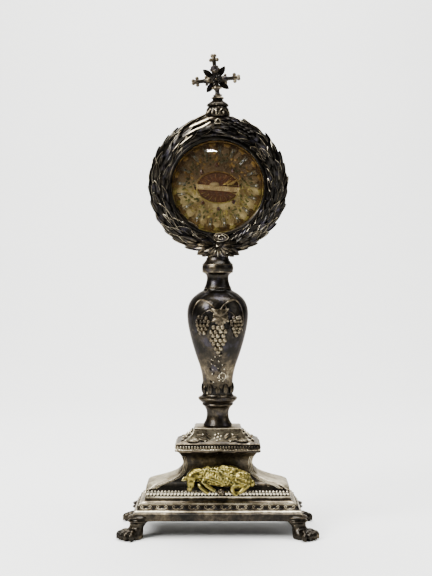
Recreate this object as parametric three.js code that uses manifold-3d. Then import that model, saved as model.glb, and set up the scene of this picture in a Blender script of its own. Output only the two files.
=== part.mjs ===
// Standing reliquary: a round glazed case in a laurel wreath, carried by a vine-relief
// baluster on a stepped pedestal with a lying lamb and four lion's paws.
// Millimetres, +Z up, the front faces -Y, the origin lies on the ground under the stem.
import * as THREE from 'three';
import { mergeVertices } from 'three/addons/utils/BufferGeometryUtils.js';
import Module from 'manifold-3d';

const wasm = await Module();
wasm.setup();

// driving sizes
const gap = 0.3;                    // clearance between pieces that touch
const mergeDistance = 1e-4;
const pedestalFoot = { z: 11.4, halfWidth: 55.9, halfDepth: 26 };
const beadRow = { low: 26.5, high: 30.3, pitch: 4.6, proud: 0.9, halfWidth: 47.2, halfDepth: 18.6 };
const reliefBand = { low: 17.9, high: 22.2, halfWidth: 52.4, halfDepth: 22.6, pitch: 15.0 };
const capTop = 70.9;
const capBottom = 55.1;
const stemSides = 14;
const spoolTop = 92.3;
const balusterTop = 163.3;
const collarTop = 184.2;
const wreathCentre = 232.9;
const wreathRing = 40.6;            // centre line of the wreath's core
const wreathThick = { across: 5.6, deep: 5.2 };
const leafSize = { length: 17.5, width: 5.4, height: 1.5, depth: 2.0 };
const leavesEachSide = 7;
const caseCentre = 231.9;
const caseRadius = 34.3;
const caseWall = 1.6;
const caseFront = -4.4;
const caseBack = 8.4;
const glassThick = 1.2;
const roundSides = 24;              // facets of the case and what it holds
const displayGap = 3.8;             // clear depth between the pane and the board
const domeBottom = 279.4;
const domeTop = 292.3;
const crossLean = THREE.MathUtils.degToRad(-6);
const crossCentreHeight = 11.2;     // from the dome to the middle of the cross
const footCorner = { x: 52.0, y: 21.6 };

const up = new THREE.Vector3(0, 0, 1);
const vector = (x, y, z) => new THREE.Vector3(x, y, z);

// a triangle soup with shared corners, from points and a list of corner numbers
function geometryFrom(points, index) {
  const geometry = new THREE.BufferGeometry();
  geometry.setAttribute('position', new THREE.Float32BufferAttribute(points.flatMap((p) => p.toArray()), 3));
  geometry.setIndex(index);
  return geometry;
}

function signedVolume(corners, triangles) {
  const point = (i) => vector(corners[3 * i], corners[3 * i + 1], corners[3 * i + 2]);
  let volume = 0;
  for (let i = 0; i < triangles.length; i += 3) {
    volume += point(triangles[i]).dot(point(triangles[i + 1]).cross(point(triangles[i + 2])));
  }
  return volume;
}

// one closed solid with its faces pointing out
function solidOf(geometry) {
  const bare = geometry.clone();
  bare.deleteAttribute('normal');
  bare.deleteAttribute('uv');
  const merged = mergeVertices(bare, mergeDistance);
  const corners = merged.getAttribute('position').array;
  const list = merged.getIndex().array;
  let triangles = [];
  for (let i = 0; i < list.length; i += 3) {
    const [a, b, c] = [list[i], list[i + 1], list[i + 2]];
    if (a !== b && b !== c && c !== a) triangles.push(a, b, c);
  }
  if (signedVolume(corners, triangles) < 0) triangles = triangles.reverse();
  return new wasm.Manifold(new wasm.Mesh({
    numProp: 3,
    vertProperties: Float32Array.from(corners),
    triVerts: Uint32Array.from(triangles),
  }));
}

function fused(geometries) {
  return geometries.map(solidOf).reduce((whole, piece) => whole.add(piece));
}

// a named piece of the reliquary
function piece(name, solid, material) {
  const mesh = solid.getMesh();
  const geometry = new THREE.BufferGeometry();
  geometry.setAttribute('position', new THREE.Float32BufferAttribute(Array.from(mesh.vertProperties), 3));
  geometry.setIndex(Array.from(mesh.triVerts));
  geometry.computeVertexNormals();
  const result = new THREE.Mesh(geometry, material);
  result.name = name;
  return result;
}

const silver = (color, roughness) => new THREE.MeshStandardMaterial({ color, roughness, metalness: 0.95 });

// a closed solid through matching rings of points
function loft(rings) {
  const sides = rings[0].length;
  const points = rings.flat();
  const index = [];
  for (let row = 0; row < rings.length - 1; row += 1) {
    for (let i = 0; i < sides; i += 1) {
      const a = row * sides + i;
      const b = row * sides + ((i + 1) % sides);
      index.push(a, b, b + sides, a, b + sides, a + sides);
    }
  }
  const middle = (ring) => ring.reduce((sum, p) => sum.add(p), vector(0, 0, 0)).divideScalar(sides);
  const first = points.push(middle(rings[0])) - 1;
  const final = points.push(middle(rings.at(-1))) - 1;
  const top = (rings.length - 1) * sides;
  for (let i = 0; i < sides; i += 1) {
    const next = (i + 1) % sides;
    index.push(first, next, i, final, top + i, top + next);
  }
  return geometryFrom(points, index);
}

// a rectangular moulding: each level is [height, half width, half depth]
function moulding(levels, grow = 0) {
  return loft(levels.map(([z, halfWidth, halfDepth]) => {
    const [x, y] = [halfWidth + grow, halfDepth + grow];
    return [vector(x, y, z), vector(-x, y, z), vector(-x, -y, z), vector(x, -y, z)];
  }));
}

// a turned solid about the vertical axis: each point is [radius, height]
function turned(profile, sides) {
  const geometry = new THREE.LatheGeometry(profile.map(([r, z]) => new THREE.Vector2(r, z)), sides);
  return geometry.rotateX(Math.PI / 2);
}

// a rounded lump with its own radii, turned about its middle
function lump(at, radii, turn = [0, 0, 0], sides = 8, rows = 5) {
  const matrix = new THREE.Matrix4().compose(
    vector(...at),
    new THREE.Quaternion().setFromEuler(new THREE.Euler(...turn)),
    vector(...radii),
  );
  return new THREE.SphereGeometry(1, sides, rows).applyMatrix4(matrix);
}

// a tapered limb between two points, with rounded ends
function limb(from, to, radiusFrom, radiusTo, sides = 4) {
  const [start, end] = [vector(...from), vector(...to)];
  const along = end.clone().sub(start).normalize();
  const across = new THREE.Vector3().crossVectors(along, up);
  if (across.length() < 0.1) across.set(1, 0, 0);
  across.normalize();
  const other = new THREE.Vector3().crossVectors(along, across);
  const ring = (centre, radius) => Array.from({ length: sides }, (unused, i) => {
    const angle = (2 * Math.PI * i) / sides;
    return centre.clone()
      .addScaledVector(across, radius * Math.cos(angle))
      .addScaledVector(other, radius * Math.sin(angle));
  });
  return loft([
    ring(start.clone().addScaledVector(along, -0.6 * radiusFrom), 0.6 * radiusFrom),
    ring(start, radiusFrom),
    ring(end, radiusTo),
    ring(end.clone().addScaledVector(along, 0.6 * radiusTo), 0.6 * radiusTo),
  ]);
}

// a pointed leaf with a raised midrib: base at the place given, running along its direction
function leaf(at, along, outward, size) {
  const forward = along.clone().normalize();
  const side = new THREE.Vector3().crossVectors(outward, forward).normalize();
  const rise = new THREE.Vector3().crossVectors(forward, side);
  const spot = (x, y, z) => at.clone()
    .addScaledVector(forward, x * size.length)
    .addScaledVector(side, y * size.width)
    .addScaledVector(rise, z);
  const points = [
    spot(0, 0, 0), spot(0.42, 0.5, 0), spot(1, 0, 0), spot(0.42, -0.5, 0),
    spot(0.42, 0, size.height), spot(0.42, 0, -size.depth),
  ];
  return geometryFrom(points, [0, 1, 4, 1, 2, 4, 2, 3, 4, 3, 0, 4, 1, 0, 5, 2, 1, 5, 3, 2, 5, 0, 3, 5]);
}

// radius of a turned profile at a height, between its points
function radiusAt(profile, z) {
  const next = profile.findIndex(([, height], i) => i > 0 && height >= z);
  const [[r0, z0], [r1, z1]] = [profile[next - 1], profile[next]];
  return r0 + ((r1 - r0) * (z - z0)) / (z1 - z0);
}

// the four corners of the pedestal, upwards from the ground
const pedestalLevels = [
  [pedestalFoot.z, pedestalFoot.halfWidth, pedestalFoot.halfDepth],
  [16.6, pedestalFoot.halfWidth - 0.2, pedestalFoot.halfDepth - 0.2],
  [16.9, pedestalFoot.halfWidth - 1.2, pedestalFoot.halfDepth - 1.2],
  [reliefBand.low, pedestalFoot.halfWidth - 1.4, pedestalFoot.halfDepth - 1.4],
  [reliefBand.low + 0.3, pedestalFoot.halfWidth - 2.4, pedestalFoot.halfDepth - 2.4],
  [reliefBand.high, 51.4, 21.6],
  [22.7, 51.3, 21.5],
  [23.0, 50.4, 20.6],
  [23.8, 49.0, 19.7],
  [25.2, 48.0, 19.1],
  [beadRow.low, beadRow.halfWidth, beadRow.halfDepth],
  [beadRow.high, beadRow.halfWidth, beadRow.halfDepth],
  [32.2, 47.6, 18.0],
  [33.4, 46.4, 17.5],
  [34.4, 43.6, 16.8],
  [35.6, 38.6, 15.7],
  [37.2, 33.2, 14.6],
  [39.2, 28.2, 13.6],
  [41.8, 25.0, 12.8],
  [44.2, 23.7, 12.5],
  [46.6, 23.1, 12.3],
  [49.6, 23.3, 12.5],
  [51.7, 24.0, 13.2],
  [53.6, 25.1, 14.5],
  [capBottom - gap, 26.2, 15.6],
];

const capLevels = [
  [capBottom, 28.3, 17.2],
  [56.7, 28.5, 17.4],
  [57.2, 27.9, 16.9],
  [60.2, 27.7, 16.7],
  [60.5, 27.3, 16.4],
  [61.2, 25.8, 15.8],
  [62.4, 22.6, 14.7],
  [64.6, 19.3, 13.5],
  [67.2, 16.9, 12.6],
  [69.4, 15.9, 12.1],
  [70.4, 15.3, 11.7],
  [capTop, 13.4, 10.2],
];

// a row of beads along one side, as a toothed strip
function beadStrip(length, width) {
  const count = Math.round(length / beadRow.pitch);
  const step = length / count;
  const shape = new THREE.Shape();
  shape.moveTo(-length / 2, width);
  for (let i = 0; i < count; i += 1) {
    const start = -length / 2 + i * step;
    shape.lineTo(start, 0);
    shape.lineTo(start + 0.5 * step, -beadRow.proud);
  }
  shape.lineTo(length / 2, 0);
  shape.lineTo(length / 2, width);
  return new THREE.ExtrudeGeometry(shape, { depth: beadRow.high - beadRow.low - 0.4, bevelEnabled: false })
    .translate(0, 0, beadRow.low + 0.2);
}

// small alternate leaves that fill the relief band on one side
function bandLeaves(length) {
  const count = Math.round(length / reliefBand.pitch);
  const middle = (reliefBand.low + reliefBand.high) / 2;
  const size = { length: 8.6, width: 3.4, height: 0.9, depth: 1.2 };
  return Array.from({ length: count }, (unused, i) => {
    const x = (i + 0.5) * (length / count) - length / 2;
    const way = i % 2 ? 1 : -1;
    const rise = 0.25 * (i % 4 < 2 ? 1 : -1);
    return leaf(vector(x - 4.3 * way, 0.3, middle - rise * 4), vector(way, 0.06, rise), vector(0, -1, 0.35), size);
  });
}

function pedestal() {
  const bottom = pedestalFoot.z;
  const recess = moulding([[bottom - 1, 53.6, 23.7], [bottom + 2.2, 53.6, 23.7]]);
  const front = (shape, depth) => shape.translate(0, -depth, 0);
  const side = (shape, width, turn) => shape.rotateZ(turn * (Math.PI / 2)).translate(width * turn, 0, 0);
  const beads = [
    front(beadStrip(2 * beadRow.halfWidth, 1), beadRow.halfDepth - 0.1),
    side(beadStrip(2 * beadRow.halfDepth, 1), beadRow.halfWidth - 0.1, 1),
    side(beadStrip(2 * beadRow.halfDepth, 1), beadRow.halfWidth - 0.1, -1),
  ];
  const leaves = [
    ...bandLeaves(2 * reliefBand.halfWidth - 4).map((shape) => front(shape, reliefBand.halfDepth)),
    ...bandLeaves(2 * reliefBand.halfDepth - 4).map((shape) => side(shape, reliefBand.halfWidth, 1)),
    ...bandLeaves(2 * reliefBand.halfDepth - 4).map((shape) => side(shape, reliefBand.halfWidth, -1)),
  ];
  return fused([moulding(pedestalLevels), ...beads, ...leaves]).subtract(solidOf(recess));
}

// flower of pointed petals facing the given way; a hub covers their bases
function flower(at, outward, petals, size, start = 0) {
  const hub = 0.2 * size.length;
  const across = new THREE.Vector3().crossVectors(up, outward).normalize();
  const over = new THREE.Vector3().crossVectors(outward, across).normalize();
  return Array.from({ length: petals }, (unused, i) => {
    const angle = start + (2 * Math.PI * i) / petals;
    const along = across.clone().multiplyScalar(Math.cos(angle)).addScaledVector(over, Math.sin(angle));
    return leaf(at.clone().addScaledVector(along, hub), along, outward, { ...size, length: size.length - hub });
  });
}

function pedestalCap() {
  const petal = { length: 4.6, width: 2.6, height: 0.8, depth: 1.2 };
  const spray = { length: 7.5, width: 3.0, height: 0.8, depth: 1.2 };
  const slope = vector(0, -0.75, 0.66);
  const middle = vector(0, -13.6, 64.4);
  const sprays = [-1, 1].flatMap((way) => [
    leaf(vector(7 * way, -13.9, 64.2), vector(way, 0.05, 0.25), slope, spray),
    leaf(vector(7 * way, -14.6, 63), vector(way, 0.05, -0.15), slope, spray),
  ]);
  return fused([moulding(capLevels), ...flower(middle, slope, 6, petal), ...sprays]);
}

// the leg and paw of one foot; it stands at the origin and points along +X
function footShape() {
  const sides = 6;
  const levels = [
    [15.0, -0.4, 5.4, 5.6], [13.6, 0, 6.7, 6.8], [12.4, 0, 6.2, 6.3], [11.3, 0, 6.7, 6.8],
    [9.8, 0, 5.2, 5.4], [7.6, 0.6, 4.8, 5.0], [4.6, 3.1, 7.0, 6.9], [2.0, 4.0, 7.7, 7.4], [0, 3.8, 6.6, 6.5],
  ];
  const leg = loft(levels.map(([z, shift, long, wide]) => Array.from({ length: sides }, (unused, i) => {
    const angle = (2 * Math.PI * i) / sides;
    return vector(shift + long * Math.cos(angle), wide * Math.sin(angle), z);
  })));
  const toes = [-1.5, -0.5, 0.5, 1.5].map((step) => {
    const spread = step * 0.27;
    const reach = 10.4 - 0.5 * Math.abs(step);
    const at = [1 + reach * Math.cos(spread), reach * Math.sin(spread) * 1.5, 3.0];
    return lump(at, [4.4, 2.3, 3.0], [0, 0, spread], 4, 3);
  });
  return fused([leg, ...toes]);
}

// the foot under one corner; its top is cut to the pedestal
function foot(wayX, wayY) {
  const solid = footShape();
  const mesh = solid.getMesh();
  const geometry = new THREE.BufferGeometry();
  geometry.setAttribute('position', new THREE.Float32BufferAttribute(Array.from(mesh.vertProperties), 3));
  geometry.setIndex(Array.from(mesh.triVerts));
  geometry.rotateZ(Math.atan2(wayY, wayX)).translate(footCorner.x * wayX, footCorner.y * wayY, 0);
  return solidOf(geometry).subtract(solidOf(moulding(footRoom)));
}

// the room that the feet leave for the pedestal
const footRoom = [
  [pedestalFoot.z - gap, pedestalFoot.halfWidth + gap, pedestalFoot.halfDepth + gap],
  [17, pedestalFoot.halfWidth + gap, pedestalFoot.halfDepth + gap],
];

const lambMiddle = -21;
function lamb() {
  const y = lambMiddle;
  const parts = [
    lump([4.5, y + 1.8, 39.9], [14.5, 6.0, 7.2], [0, 0.12, 0], 7, 5),
    lump([-5.5, y + 1.6, 40.2], [9.0, 5.8, 6.4], [0, -0.15, 0], 7, 4),
    lump([14.2, y + 1.0, 37.6], [8.0, 5.6, 6.4], [0, 0.3, 0], 7, 4),
    lump([22.0, y - 0.6, 36.6], [3.6, 2.4, 2.0], [0, 0.65, 0], 5, 3),
    lump([-13.6, y + 0.4, 41.6], [6.0, 4.4, 4.2], [0, 0, 0], 6, 4),
    lump([-17.2, y - 1.6, 38.6], [3.9, 3.8, 4.9], [0, 0.15, 0], 6, 4),
    lump([-18.2, y - 2.9, 34.6], [2.4, 2.6, 3.6], [0, 0.12, 0], 6, 4),
    lump([-22.4, y - 0.8, 39.6], [3.0, 1.3, 1.7], [0, -0.35, 0], 5, 3),
    lump([-12.4, y - 2.2, 41.2], [2.8, 1.4, 1.6], [0, 0.45, 0], 5, 3),
    limb([-4.0, y - 2.4, 38.4], [-10.8, y - 3.0, 34.2], 2.4, 1.9),
    limb([-10.8, y - 3.0, 34.2], [-3.6, y - 3.2, 29.6], 1.7, 1.4),
    limb([-11.2, y - 1.8, 32.4], [-7.2, y - 2.4, 28.8], 1.8, 1.4),
    limb([15.0, y - 2.2, 35.4], [8.8, y - 2.6, 31.0], 2.7, 1.7),
    limb([8.8, y - 2.6, 30.6], [13.4, y - 3.0, 28.4], 1.5, 1.3),
    limb([19.4, y - 1.2, 33.4], [13.4, y - 2.2, 30.0], 2.1, 1.5),
  ];
  return fused(parts).subtract(solidOf(moulding(pedestalLevels, gap + beadRow.proud)));
}

function lambBoss() {
  const lobes = Array.from({ length: 5 }, (unused, i) => {
    const angle = (2 * Math.PI * i) / 5;
    return lump([2.3 + 1.9 * Math.cos(angle), -21.2, 29.8 + 1.6 * Math.sin(angle)], [1.2, 1.6, 1.1], [0, 0, 0], 5, 3);
  });
  const heart = lump([2.3, -21.6, 29.8], [1.7, 1.7, 1.6], [0, 0, 0], 5, 3);
  return fused([heart, ...lobes])
    .subtract(solidOf(moulding(pedestalLevels, gap + beadRow.proud)))
    .subtract(solidOf(moulding([[20, 9, 40], [21, 9, 40]])));
}

const spoolProfile = [
  [0, capTop + gap], [9.6, capTop + gap], [9.4, 72.5], [8.0, 75], [7.4, 78.6], [8.0, 81.8], [10.1, 85],
  [11.3, 87.5], [13.2, 89.5], [12.7, 90.5], [10.2, 91.6], [10.1, spoolTop], [0, spoolTop],
];

const balusterProfile = [
  [0, spoolTop + gap], [10.0, spoolTop + gap], [10.15, 98], [10.3, 103.3], [11.8, 110.4], [15.0, 119.8],
  [17.8, 129.3], [20.0, 138.8], [20.6, 145.5], [20.1, 151], [18.9, 153.9], [16.8, 157.3], [12.8, 160.6],
  [9.5, 162.3], [9.2, balusterTop], [0, balusterTop],
];

const collarProfile = [
  [0, balusterTop + gap], [9.0, balusterTop + gap], [7.8, 166.8], [7.3, 170], [7.7, 172.6],
  [10.3, 174.6], [10.0, 176], [10.0, 178.4], [10.4, 179.6], [8.3, 182], [7.3, collarTop], [0, collarTop],
];

// a point on the baluster, by its distance round from the front and its height
function onBaluster(around, z, proud) {
  const radius = radiusAt(balusterProfile, z);
  const angle = around / radius - Math.PI / 2;
  return vector((radius + proud) * Math.cos(angle), (radius + proud) * Math.sin(angle), z);
}

// a bunch of grapes: rows that narrow to a point
function grapes(around, top, rows) {
  const spacing = 3.3;
  return rows.flatMap((count, row) => Array.from({ length: count }, (unused, i) => {
    const place = onBaluster(around + (i - (count - 1) / 2) * spacing, top - row * 3.1, 0.3);
    return new THREE.OctahedronGeometry(1.6, 0).translate(place.x, place.y, place.z);
  }));
}

// a five-lobed vine leaf that lies on the baluster
function vineLeaf(around, z) {
  const reach = [9.4, 5.2, 8.0, 4.8, 7.6, 3.2, 7.6, 4.8, 8.0, 5.2];
  const outline = reach.map((length, i) => {
    const angle = -Math.PI / 2 + (2 * Math.PI * i) / reach.length;
    return [around + length * Math.cos(angle), z + 1.15 * length * Math.sin(angle)];
  });
  const points = [
    ...outline.map(([x, height]) => onBaluster(x, height, 0.25)),
    ...outline.map(([x, height]) => onBaluster(x, height, -1.2)),
    onBaluster(around, z, 1.5),
    onBaluster(around, z, -2.5),
  ];
  const count = outline.length;
  const index = [];
  for (let i = 0; i < count; i += 1) {
    const next = (i + 1) % count;
    index.push(i, next, 2 * count, next, i, count + i, next, count + i, count + next);
    index.push(count + next, count + i, 2 * count + 1);
  }
  return geometryFrom(points, index);
}

// the raised contour that frames the relief over the shoulder
function contour(way) {
  const places = [[2.5, 153], [7.5, 157.2], [13.5, 157.0], [18.6, 151.8]];
  const path = new THREE.CatmullRomCurve3(places.map(([x, z]) => onBaluster(x * way, z, 0)));
  const section = new THREE.Shape([[0.7, 0], [0, 0.7], [-0.7, 0], [0, -0.7]].map(([x, y]) => new THREE.Vector2(x, y)));
  return new THREE.ExtrudeGeometry(section, { steps: 5, extrudePath: path, bevelEnabled: false });
}

function baluster() {
  const turnedHalf = (shapes) => shapes.map((shape) => shape.rotateZ(Math.PI));
  return fused([
    turned(balusterProfile, stemSides),
    contour(1),
    contour(-1),
    vineLeaf(1.2, 147),
    ...grapes(0.3, 136.4, [3, 4, 3, 2, 1]),
    ...grapes(-11.2, 142.0, [3, 2]),
    ...grapes(11.6, 141.2, [3, 2]),
    ...turnedHalf([vineLeaf(0, 147)]),
  ]);
}

// a point of the wreath by its angle round the ring, its distance from the middle and its depth
function onWreath(ringAngle, radius, y) {
  return vector(radius * Math.cos(ringAngle), y, wreathCentre + radius * Math.sin(ringAngle));
}

// one row of laurel leaves up one side of the wreath; base and tip are [radius, y]
function leafRow(way, { base, tip, offset, count }) {
  const first = THREE.MathUtils.degToRad(-87);
  const reach = THREE.MathUtils.degToRad(166);
  const turn = leafSize.length / base[0];
  return Array.from({ length: count }, (unused, i) => {
    const start = first + reach * ((i + offset) / count);
    const angleOf = (angle) => (way > 0 ? angle : Math.PI - angle);
    const from = onWreath(angleOf(start), ...base);
    const to = onWreath(angleOf(start + turn), ...tip);
    const heart = onWreath(angleOf(start + turn / 2), wreathRing, 0);
    const outward = from.clone().lerp(to, 0.5).sub(heart);
    return leaf(from, to.clone().sub(from), outward, { ...leafSize, length: from.distanceTo(to) });
  });
}

// the rod that the leaves grow from
function wreathCore() {
  const [ringSteps, sectionSteps] = [18, 6];
  const points = [];
  const index = [];
  for (let i = 0; i < ringSteps; i += 1) {
    for (let j = 0; j < sectionSteps; j += 1) {
      const around = (2 * Math.PI * j) / sectionSteps;
      const radius = wreathRing + wreathThick.across * Math.cos(around);
      points.push(onWreath((2 * Math.PI * i) / ringSteps, radius, -wreathThick.deep * Math.sin(around)));
      const a = i * sectionSteps + j;
      const b = i * sectionSteps + ((j + 1) % sectionSteps);
      const [c, d] = [a, b].map((k) => (k + sectionSteps) % (ringSteps * sectionSteps));
      index.push(a, b, d, a, d, c);
    }
  }
  return geometryFrom(points, index);
}

// a turned solid about the axis of the case, which runs from front to back: [radius, y]
function turnedAcross(profile, sides) {
  const geometry = new THREE.LatheGeometry(profile.map(([r, y]) => new THREE.Vector2(r, y)), sides);
  return geometry.translate(0, 0, caseCentre);
}

// flower, fan and seat that tie the two branches at the bottom of the wreath
function wreathTie() {
  const frontward = vector(0, -1, 0);
  const star = { length: 5.4, width: 2.2, height: 1.0, depth: 1.4 };
  const blade = { length: 8.2, width: 3.4, height: 1.1, depth: 2.0 };
  const fan = Array.from({ length: 5 }, (unused, i) => {
    const angle = -Math.PI / 2 + (i - 2) * 0.5;
    return leaf(vector(0.4, -5.6, 192), vector(Math.cos(angle), -0.06, Math.sin(angle)), frontward, blade);
  });
  const seat = turned([[0, collarTop + gap], [6.9, collarTop + gap], [8.4, 187], [8.6, 190], [0, 192]], 12);
  return [
    seat.scale(1, 0.8, 1),
    ...fan,
    ...flower(vector(-1.5, -7.6, 192.8), frontward, 6, star, 0.2),
    lump([-1.5, -7.8, 192.8], [1.7, 1.3, 1.7], [0, 0, 0], 6, 4),
    lump([-0.6, -6.2, 197.0], [3.2, 2.0, 2.6], [0, 0.5, 0], 6, 3),
    lump([4.0, -5.6, 196.6], [3.2, 2.6, 3.2], [0, -0.5, 0], 6, 3),
  ];
}

// what stands on the top of the wreath: the dome's saddle, a small boss and two long blades
function wreathTop() {
  const blade = { length: 17.5, width: 4.4, height: 1.3, depth: 1.6 };
  const frontward = vector(-0.1, -1, 0.4);
  return [
    lump([0, 0, 276.5], [11.5, 7.4, 5.0], [0, 0, 0], 8, 4),
    lump([-1.6, -7.2, 275.4], [1.3, 1.0, 1.2], [0, 0, 0], 5, 3),
    lump([1.0, -7.2, 275.4], [1.3, 1.0, 1.2], [0, 0, 0], 5, 3),
    lump([-0.3, -7.0, 277.6], [1.3, 1.0, 1.3], [0, 0, 0], 5, 3),
    leaf(vector(-21.4, -5.2, 268.2), vector(1, 0, 0.4), frontward, blade),
    leaf(vector(-20.4, -4.2, 272.4), vector(1, 0, 0.36), vector(-0.2, -1, 0.9), blade),
  ];
}

function wreath() {
  const rows = [
    { base: [41.6, -3.2], tip: [47.2, -2.4], offset: 0.1, count: leavesEachSide },
    { base: [39.8, -4.2], tip: [42.4, -7.2], offset: 0.6, count: leavesEachSide },
    { base: [38.8, -3.2], tip: [32.8, -6.8], offset: 0.2, count: leavesEachSide },
    { base: [41.6, 3.0], tip: [45.8, 5.0], offset: 0.4, count: leavesEachSide - 4 },
  ];
  const leaves = [-1, 1].flatMap((way) => rows.flatMap((row) => leafRow(way, row)));
  const caseRoom = turnedAcross([
    [0, caseFront - gap], [caseRadius + gap, caseFront - gap], [caseRadius + gap, 30], [0, 30],
  ], roundSides);
  const domeRoom = turned([[0, domeBottom - gap], [12, domeBottom - gap], [12, 300], [0, 300]], 16);
  return fused([wreathCore(), ...leaves, ...wreathTie(), ...wreathTop()])
    .subtract(solidOf(caseRoom))
    .subtract(solidOf(domeRoom));
}

const lip = { radius: 31.4, depth: 0.8 };
const caseInside = caseRadius - caseWall;
function relicCase() {
  return solidOf(turnedAcross([
    [0, caseBack], [caseRadius - 1.2, caseBack], [caseRadius, caseBack - 1.2], [caseRadius, caseFront + 0.5],
    [caseRadius - 0.6, caseFront], [lip.radius, caseFront], [lip.radius, caseFront + lip.depth],
    [caseInside, caseFront + lip.depth], [caseInside, caseBack - caseWall], [0, caseBack - caseWall],
  ], roundSides));
}

// a round plate that fits the case, between two depths
function roundPlate(front, back) {
  const radius = caseInside - gap;
  return solidOf(turnedAcross([[0, front], [radius, front], [radius, back], [0, back]], roundSides));
}

// the dome under the cross: a fluted bell, a waist and two small rings
function crownDome() {
  const flutes = 7;
  const levels = [
    [domeBottom, 8.4, 0.10], [281.6, 8.3, 0.12], [284.4, 7.2, 0.08], [285.2, 6.5, 0],
    [286.6, 7.0, 0.05], [288.7, 4.5, 0.05], [290.4, 3.5, 0],
    [291.3, 4.3, 0], [domeTop, 4.1, 0],
  ];
  const sides = 3 * flutes;
  return solidOf(loft(levels.map(([z, radius, swell]) => Array.from({ length: sides }, (unused, i) => {
    const angle = (2 * Math.PI * i) / sides;
    const reach = radius * (i % 3 === 0 ? 1 - swell : 1);
    return vector(reach * Math.cos(angle), reach * Math.sin(angle), z);
  }))));
}

// one arm of the cross, along +Z from the middle: each point is [radius, distance]
const armProfile = [
  [0, 0], [1.5, 0.1], [1.4, 4.6], [2.7, 5.6], [2.5, 9.2], [1.1, 10.2], [1.1, 12.2],
  [3.0, 13.9], [1.4, 15.2], [1.9, 16.5], [0, 17.8],
];
const lowerArmProfile = [
  [0, 0], [1.5, 0.1], [1.6, 4.0], [2.9, 5.2], [1.4, 8.0], [1.5, 9.8], [2.1, 10.9], [0, 10.9],
];
const flatness = 0.8;

function cross() {
  const arm = (profile, turn, stretch) => turned(profile, 5)
    .scale(1, flatness, stretch).rotateY(turn);
  const ray = { length: 11.4, width: 3.6, height: 1.1, depth: 1.1 };
  const petal = { length: 3.9, width: 2.3, height: 1.0, depth: 1.0 };
  const frontward = vector(0, -1, 0);
  const solid = fused([
    arm(armProfile, 0, 1),
    arm(armProfile, Math.PI / 2, 0.925),
    arm(armProfile, -Math.PI / 2, 0.925),
    arm(lowerArmProfile, Math.PI, 1),
    ...flower(vector(0, 0, 0), frontward, 4, ray, Math.PI / 4),
    ...flower(vector(0, -1.6, 0), frontward, 5, petal),
    lump([0, 0, 0], [3.0, 2.3, 3.0], [0, 0.3, 0], 6, 4),
  ]);
  const mesh = piece('cross', solid, silver(0x3a3733, 0.45));
  mesh.position.set(0, 0, crossCentreHeight);
  const leaning = new THREE.Group();
  leaning.position.set(0, 0, domeTop + gap);
  leaning.rotation.y = crossLean;
  leaning.add(mesh);
  return leaning;
}

const darkSilver = silver(0x3b3630, 0.42);
const paleSilver = silver(0x8b857a, 0.38);
const gilt = silver(0xb8a04a, 0.36);
const board = new THREE.MeshStandardMaterial({ color: 0x6b3f22, roughness: 0.85, metalness: 0 });
const pane = new THREE.MeshStandardMaterial({
  color: 0xf2f4f0, roughness: 0.04, metalness: 0, transparent: true, opacity: 0.2,
});

const reliquary = new THREE.Group();
reliquary.name = 'reliquary';
const corners = { front_left: [-1, -1], front_right: [1, -1], back_left: [-1, 1], back_right: [1, 1] };
for (const [corner, [wayX, wayY]] of Object.entries(corners)) {
  reliquary.add(piece(`foot_${corner}`, foot(wayX, wayY), darkSilver.clone()));
}
const paneFront = caseFront + lip.depth + gap;
const boardFront = paneFront + glassThick + displayGap;
reliquary.add(
  piece('pedestal', pedestal(), paleSilver.clone()),
  piece('pedestal_cap', pedestalCap(), paleSilver.clone()),
  piece('lamb', lamb(), gilt),
  piece('lamb_boss', lambBoss(), darkSilver.clone()),
  piece('stem_spool', solidOf(turned(spoolProfile, stemSides)), darkSilver.clone()),
  piece('baluster', baluster(), darkSilver.clone()),
  piece('stem_collar', solidOf(turned(collarProfile, stemSides)), darkSilver.clone()),
  piece('wreath', wreath(), darkSilver.clone()),
  piece('case', relicCase(), paleSilver.clone()),
  piece('glass', roundPlate(paneFront, paneFront + glassThick), pane),
  piece('relic_board', roundPlate(boardFront, caseBack - caseWall - gap), board),
  piece('crown_dome', crownDome(), darkSilver.clone()),
  cross(),
);

export default reliquary;
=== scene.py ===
import math
import bpy
import numpy as np
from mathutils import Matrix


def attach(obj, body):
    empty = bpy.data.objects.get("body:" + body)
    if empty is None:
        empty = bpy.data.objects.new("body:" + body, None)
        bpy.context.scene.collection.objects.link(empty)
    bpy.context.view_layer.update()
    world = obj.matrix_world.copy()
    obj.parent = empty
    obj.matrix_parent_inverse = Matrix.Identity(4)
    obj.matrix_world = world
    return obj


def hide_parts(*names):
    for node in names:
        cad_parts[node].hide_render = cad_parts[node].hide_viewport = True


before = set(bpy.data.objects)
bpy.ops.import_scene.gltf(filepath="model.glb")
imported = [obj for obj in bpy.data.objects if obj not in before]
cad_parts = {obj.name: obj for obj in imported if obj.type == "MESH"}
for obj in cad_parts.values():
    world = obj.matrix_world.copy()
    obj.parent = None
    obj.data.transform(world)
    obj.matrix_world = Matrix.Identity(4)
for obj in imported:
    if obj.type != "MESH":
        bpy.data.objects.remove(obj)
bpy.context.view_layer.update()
mm = 0.001                                 # shapes are worked out in millimetres, facing -Y
sharpDegrees = 38                          # edges that turn more than this stay crisp
goldenShare = 0.618034                     # two steps that spread small things evenly over a range
secondShare = 0.7548777
chance = np.random.default_rng(7)
print("frame loaded")


class Shape:  # points and faces that grow shell by shell
    def __init__(self):
        self.points = []
        self.faces = []
        self.count = 0

    def add(self, points, faces):
        points = np.asarray(points, dtype=float).reshape(-1, 3)
        self.points.append(points)
        self.faces.extend([tuple(int(i) + self.count for i in face) for face in faces])
        self.count += len(points)
        return self

    def all(self):
        return np.vstack(self.points)


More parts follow.
